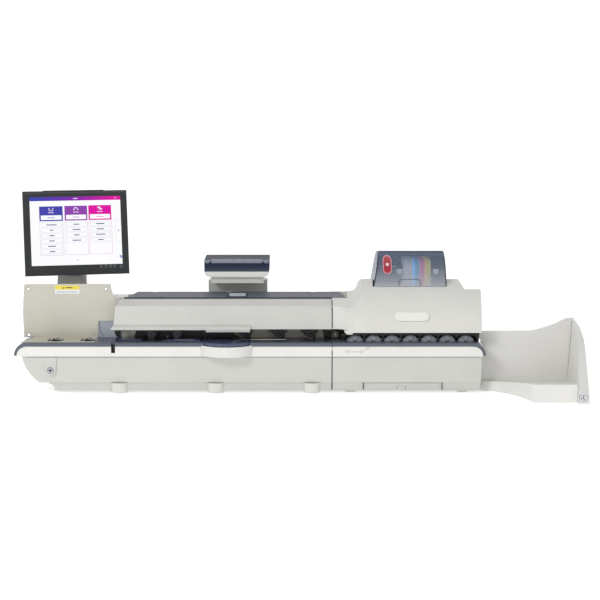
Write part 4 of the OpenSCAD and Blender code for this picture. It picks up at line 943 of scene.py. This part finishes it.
assemble("ink_marker", "ink_cover", [
    (draped_patch("ink_cover", rounded((279.5, 379), (308.5, 434), 13), 0.25, 0.05, 16), "marker_rim"),
    (draped_patch("ink_cover", rounded((282.5, 382), (305.5, 431), 11), 0.3, 0.3, 16), "marker_red"),
    (draped_patch("ink_cover", rounded((289.5, 403), (298.5, 411.5), 1.5), 0.3, 0.6, 4), "white")])

# Two caps on posts in front of the ink tanks
CAP_Z = 381
caps = []
for x in (335, 457):
    caps += [plate("y", "hub_grey", (x - 9, 304), (x + 9, CAP_Z + 27), 30, 46, 4),
             (turned("y", (x, 24, CAP_Z), [(0, -6), (7, -4), (10, 0), (10, 6), (0, 6)], 32), "tank_grey"),
             (turned("y", (x, 26, CAP_Z + 16), [(0, -6), (9, -4), (12, 0), (12, 6), (0, 6)], 24), "shadow")]
assemble("tank_caps", "base", caps, 0.5)

# ---- Tower ----

# Lid: pale band across the front, dark line at its foot and two corner facets
t_low, t_high = span("tower_lid")
lid_foot = (t_low.y, t_low.z)
band = [(-0.35, 28.4), (0.5, 28.4), (4.6, 36), (12, 40), (12, 40.6), (3.4, 36.6)]
trim = [
    shape("x", "tower_band", lid_foot, band, t_low.x + 24, t_high.x - 24),
    shape("x", "shadow", lid_foot, [(-0.4, 0.2), (0.4, 0.2), (0.4, 1.4), (-0.4, 1.4)], t_low.x, t_high.x)]
for x, way in ((t_low.x + 0.8, 1), (t_high.x - 0.8, -1)):
    facet = [(way * across, up) for across, up in ((0, 40), (22, 40), (23, 36), (14, 28), (3, 28))]
    trim.append(shape("y", "tower_corner", (x, t_low.z), facet, t_low.y - 0.3, t_low.y + 0.6))
assemble("tower_trim", "tower_lid", trim, 0.2)

# ---- Stacker ----

# Joint between the back wall and the end wall, then the small label at the corner
joint = [(-33.6, -66.4, 36), (-31, -64.8, 60), (-24.3, -57, 130), (-19.6, -50, 188), (-17.8, -46.2, 226)]
assemble("stacker_joint", "base", [
    (tube([(end_x + x, y, z) for x, y, z in joint], 0.7), "joint_line")])
LABEL_LAYERS = (
    ("label_blue", rounded((-33, 9), (-7, 27), 2.5), 0.05, 8),
    ("label_white", rounded((-31.4, 10.6), (-8.6, 25.4), 1.6), 0.3, 8),
    ("print_dark", [(-22, 13), (-20, 24), (-17, 24), (-17, 13)], 0.5, 4),
    ("print_dark", [(-17, 13), (-17, 15.5), (-11, 15.5), (-11, 13)], 0.5, 4),
    ("print_grey", rounded((-29, 14), (-24, 22), 1), 0.5, 4))
assemble("stacker_label", "base", [
    (draped_patch("stacker_tray", moved((end_x, 0), outline), 0.3, lift, rows), finish)
    for finish, outline, lift, rows in LABEL_LAYERS])

# ---- Display ----

# The screen's own frame: x to the right, z up, y = 0 on the bezel's front
tilt = next(j for j in frame["joints"] if j["name"] == "display_tilt")
yaw = math.atan2(-tilt["axis"][1], -tilt["axis"][0])
LEAN = math.radians(8.6)
BACK = 62
on_display = (Matrix.Translation(Vector(tilt["pos_m"])) @ Matrix.Rotation(yaw, 4, "Z")
              @ Matrix.Rotation(-LEAN, 4, "X") @ Matrix.Translation(Vector((0, -BACK * MM, 0))))
SCREEN_L, SCREEN_T = -151.8, 120.8
STRETCH_U, STRETCH_V = 1.026, 1.034
GLASS_Y = 1.6


def screen_point(u, v):
    return SCREEN_L + u * STRETCH_U, SCREEN_T - v * STRETCH_V


def on_screen(u0, v0, u1, v1, finish, radius=0.0, rise=0.15):
    """A lit rectangle on the screen, u to the right and v down from the top left corner, in mm."""
    near = GLASS_Y - rise
    return plate("y", finish, screen_point(u0, v1), screen_point(u1, v0), near, near + 0.12, radius)


def card(u, v, wide, finish, border, glyph, rows):
    """One menu card: a coloured head with a plain glyph, a white field, and a border round rows of bars."""
    mid = u + wide / 2
    right, foot = u + wide, v + 158
    lit = [on_screen(u, v, right, v + 47.5, finish),
           on_screen(u + 4.5, v + 29, right - 4.5, v + 43.5, "screen", 0.0, 0.3),
           on_screen(u + 26, v + 35.6, right - 26, v + 37.4, finish, 0.8, 0.45)]
    lit += [on_screen(mid + a, v + b, mid + c, v + d, "pale_glow", 1.0, 0.3) for a, b, c, d in glyph]
    lit.append(on_screen(mid - 9, v + 19.5, mid + 9, v + 21.5, "pale_glow", 0.8, 0.3))
    for edge in ((u, v + 49, u + 0.9, foot), (right - 0.9, v + 49, right, foot),
                 (u, foot - 0.9, right, foot)):
        lit.append(on_screen(*edge, border))
    for row, half in enumerate(rows):
        top = v + 53 + row * 17.2
        for edge in ((u + 5, top, right - 5, top + 0.9), (u + 5, top + 12.2, right - 5, top + 13.1),
                     (u + 5, top, u + 5.9, top + 13), (right - 5.9, top, right - 5, top + 13)):
            lit.append(on_screen(*edge, "line_grey"))
        lit.append(on_screen(mid - half, top + 5.2, mid + half, top + 8.0, "bar_text", 0.8))
    return lit


screen = []
BAR_EDGES = (0, 42, 74, 106, 128, 150, 178, 206, 232, 256, 296)
for step, (start, stop) in enumerate(zip(BAR_EDGES, BAR_EDGES[1:])):
    screen.append(on_screen(start, 0, stop, 12.5, f"bar_{step}"))
screen.append(on_screen(141, 4.8, 156, 7.2, "pale_glow", 1.0, 0.3))
screen.append(on_screen(276, 5.2, 283, 6.4, "pale_glow", 0.5, 0.3))
screen += card(30, 30, 76, "card_blue", "line_blue",
               [(-8, 6, -4, 10), (4, 6, 8, 10), (-8, 13, 8, 15)], (17, 6, 8, 9, 13, 9))
screen += card(112, 29.4, 74, "card_violet", "line_violet",
               [(-5, 5, 5, 8), (-8, 9, -4, 14), (4, 9, 8, 14)], (9, 13, 9, 14))
screen += card(190, 28.8, 75, "card_magenta", "line_magenta",
               [(-8, 5, 3, 9), (-3, 10, 8, 14)], (14, 12, 15, 9))
for edge in ((277, 76, 296, 76.7), (277, 148, 296, 148.7), (277, 76, 277.7, 148.7)):
    screen.append(on_screen(*edge, "line_grey"))
for way in (-1, 1):
    chevron = [(-4.4, way * 4), (-2.6, way * 4), (0, 0), (-1.8, 0)]
    screen.append(shape("y", "bar_text", screen_point(289, 112), chevron, GLASS_Y - 0.2, GLASS_Y - 0.05))
screen.append(on_screen(147.6, 203.5, 151, 206.9, "bar_text", 1.6))
screen.append(on_screen(155.4, 203.9, 158, 206.5, "line_blue", 1.2))
screen.append(on_screen(287, 192, 294, 199, "icon_blue", 3.0))
screen.append(on_screen(290, 196, 296, 202, "line_blue", 2.5, 0.3))
assemble("screen_image", "display", screen, place=on_display)

# Bezel: a dash under each button, a dot by the power button and a painted highlight along the top edge
marks = [plate("y", "print_pale", (x - 3.2, -111.6), (x + 3.2, -110.4), -0.15, 0.1, 0.5)
         for x in (79, 95, 111, 124)]
marks.append((extrusion("y", circle(147, -107.6, 1.5, 20), -0.15, 0.1), "print_pale"))
marks.append(plate("y", "bezel_highlight", (-166, 133.5), (166, 136), -0.12, 0.1, 1))
assemble("bezel_marks", "display", marks, place=on_display)

# Back of the display: four screws round the bracket and seven vent slots
back = [(turned("y", (x, 45, z), [(0, 1.8), (3, 1.6), (4, 0), (0, 0)], 24), "plated")
        for x in (-38, 38) for z in (-38, 38)]
back += [plate("y", "shadow", (-70, 62 + 4.4 * row), (70, 64 + 4.4 * row), 41.6, 42.3, 0.9)
         for row in range(7)]
assemble("display_back_detail", "display", back, place=on_display)

# ---- Rear ----

inlet_low, inlet_high = span("power_inlet")
inlet = ((inlet_low.x + inlet_high.x) / 2, (inlet_low.z + inlet_high.z) / 2)
assemble("inlet_pins", "base", [
    shape("y", "plated", inlet, rounded((x - 1, z - 2.6), (x + 1, z + 2.6), 0.6),
          inlet_high.y - 14, inlet_high.y - 4)
    for x, z in ((-8, 1), (0, -1), (8, 1))], 0.3)

# Blank rating plate with plain bars
rear_y = span("feeder_rear_casing")[1].y
plate_x = inlet[0] - 130
rating = [plate("y", "label_white", (plate_x - 45, 52), (plate_x + 45, 102), rear_y - 0.1, rear_y + 0.5, 3)]
for row in range(6):
    z = 60 + 7 * row
    rating.append(plate("y", "print_grey", (plate_x - 38, z), (plate_x + 38 - 14 * (row % 3), z + 1.4),
                        rear_y + 0.4, rear_y + 0.6, 0.6))
assemble("rating_plate", "base", rating)

# ---- Stage ----


def make_stage():
    """A pale floor that bends up into a wall behind the machine."""
    size, depth, bend, steps = 14.0, 4.0, 2.0, 16
    mesh = bpy.data.meshes.new("floor")
    profile = [(-size, 0.0), (depth, 0.0)]
    for i in range(1, steps + 1):
        a = math.pi / 2 * i / steps
        profile.append((depth + bend * math.sin(a), bend - bend * math.cos(a)))
    profile.append((depth + bend, size))
    verts = [(x, y, z) for y, z in profile for x in (-size, size)]
    faces = [(2 * i, 2 * i + 1, 2 * i + 3, 2 * i + 2) for i in range(len(profile) - 1)]
    mesh.from_pydata(verts, [], faces)
    mesh.polygons.foreach_set("use_smooth", [True] * len(faces))
    floor = bpy.data.objects.new("studio_floor", mesh)
    bpy.context.scene.collection.objects.link(floor)
    mat, tree, shader = blank_material("paper")
    fibre = noise(tree, coordinates(tree), 40.0, 4.0)
    paper = [(0.3, linear(246, 246, 246)), (0.7, linear(250, 250, 250))]
    link(tree, ramp(tree, fibre, paper), shader, "Base Color")
    setting(shader, {"Roughness": 0.9, "Emission Color": (1, 1, 1, 1), "Emission Strength": 0.4})
    mesh.materials.append(mat)


def area_light(name, place, aim, width, height, power):
    data = bpy.data.lights.new(name, "AREA")
    data.shape = "RECTANGLE"
    data.size = width
    data.size_y = height
    data.energy = power
    lamp = bpy.data.objects.new(name, data)
    lamp.location = place
    lamp.rotation_euler = (Vector(aim) - Vector(place)).to_track_quat("-Z", "Y").to_euler()
    bpy.context.scene.collection.objects.link(lamp)


LENS = 109.08
CAMERA_PLACE = (0.0085, -5.938, 0.991)
CAMERA_PITCH = 6.745  # degrees below level


def make_camera():
    data = bpy.data.cameras.new("camera")
    data.lens = LENS
    data.sensor_width = 36.0
    camera = bpy.data.objects.new("camera", data)
    camera.location = CAMERA_PLACE
    camera.rotation_euler = (math.radians(90 - CAMERA_PITCH), 0, 0)
    bpy.context.scene.collection.objects.link(camera)
    bpy.context.scene.camera = camera


make_stage()
area_light("key", (-2.6, -3.9, 2.9), (0, 0, 0.2), 1.6, 1.4, 84)
area_light("fill", (2.2, -4.2, 1.1), (0, 0, 0.2), 2.5, 2.0, 8)
area_light("top", (0.0, 0.2, 3.4), (0, 0, 0.0), 4.0, 2.0, 3)
world = bpy.data.worlds.new("studio")
world.use_nodes = True
world.node_tree.nodes["Background"].inputs["Color"].default_value = (1, 1, 1, 1)
world.node_tree.nodes["Background"].inputs["Strength"].default_value = 0.54
bpy.context.scene.world = world
bpy.context.scene.view_settings.view_transform = "Standard"
make_camera()
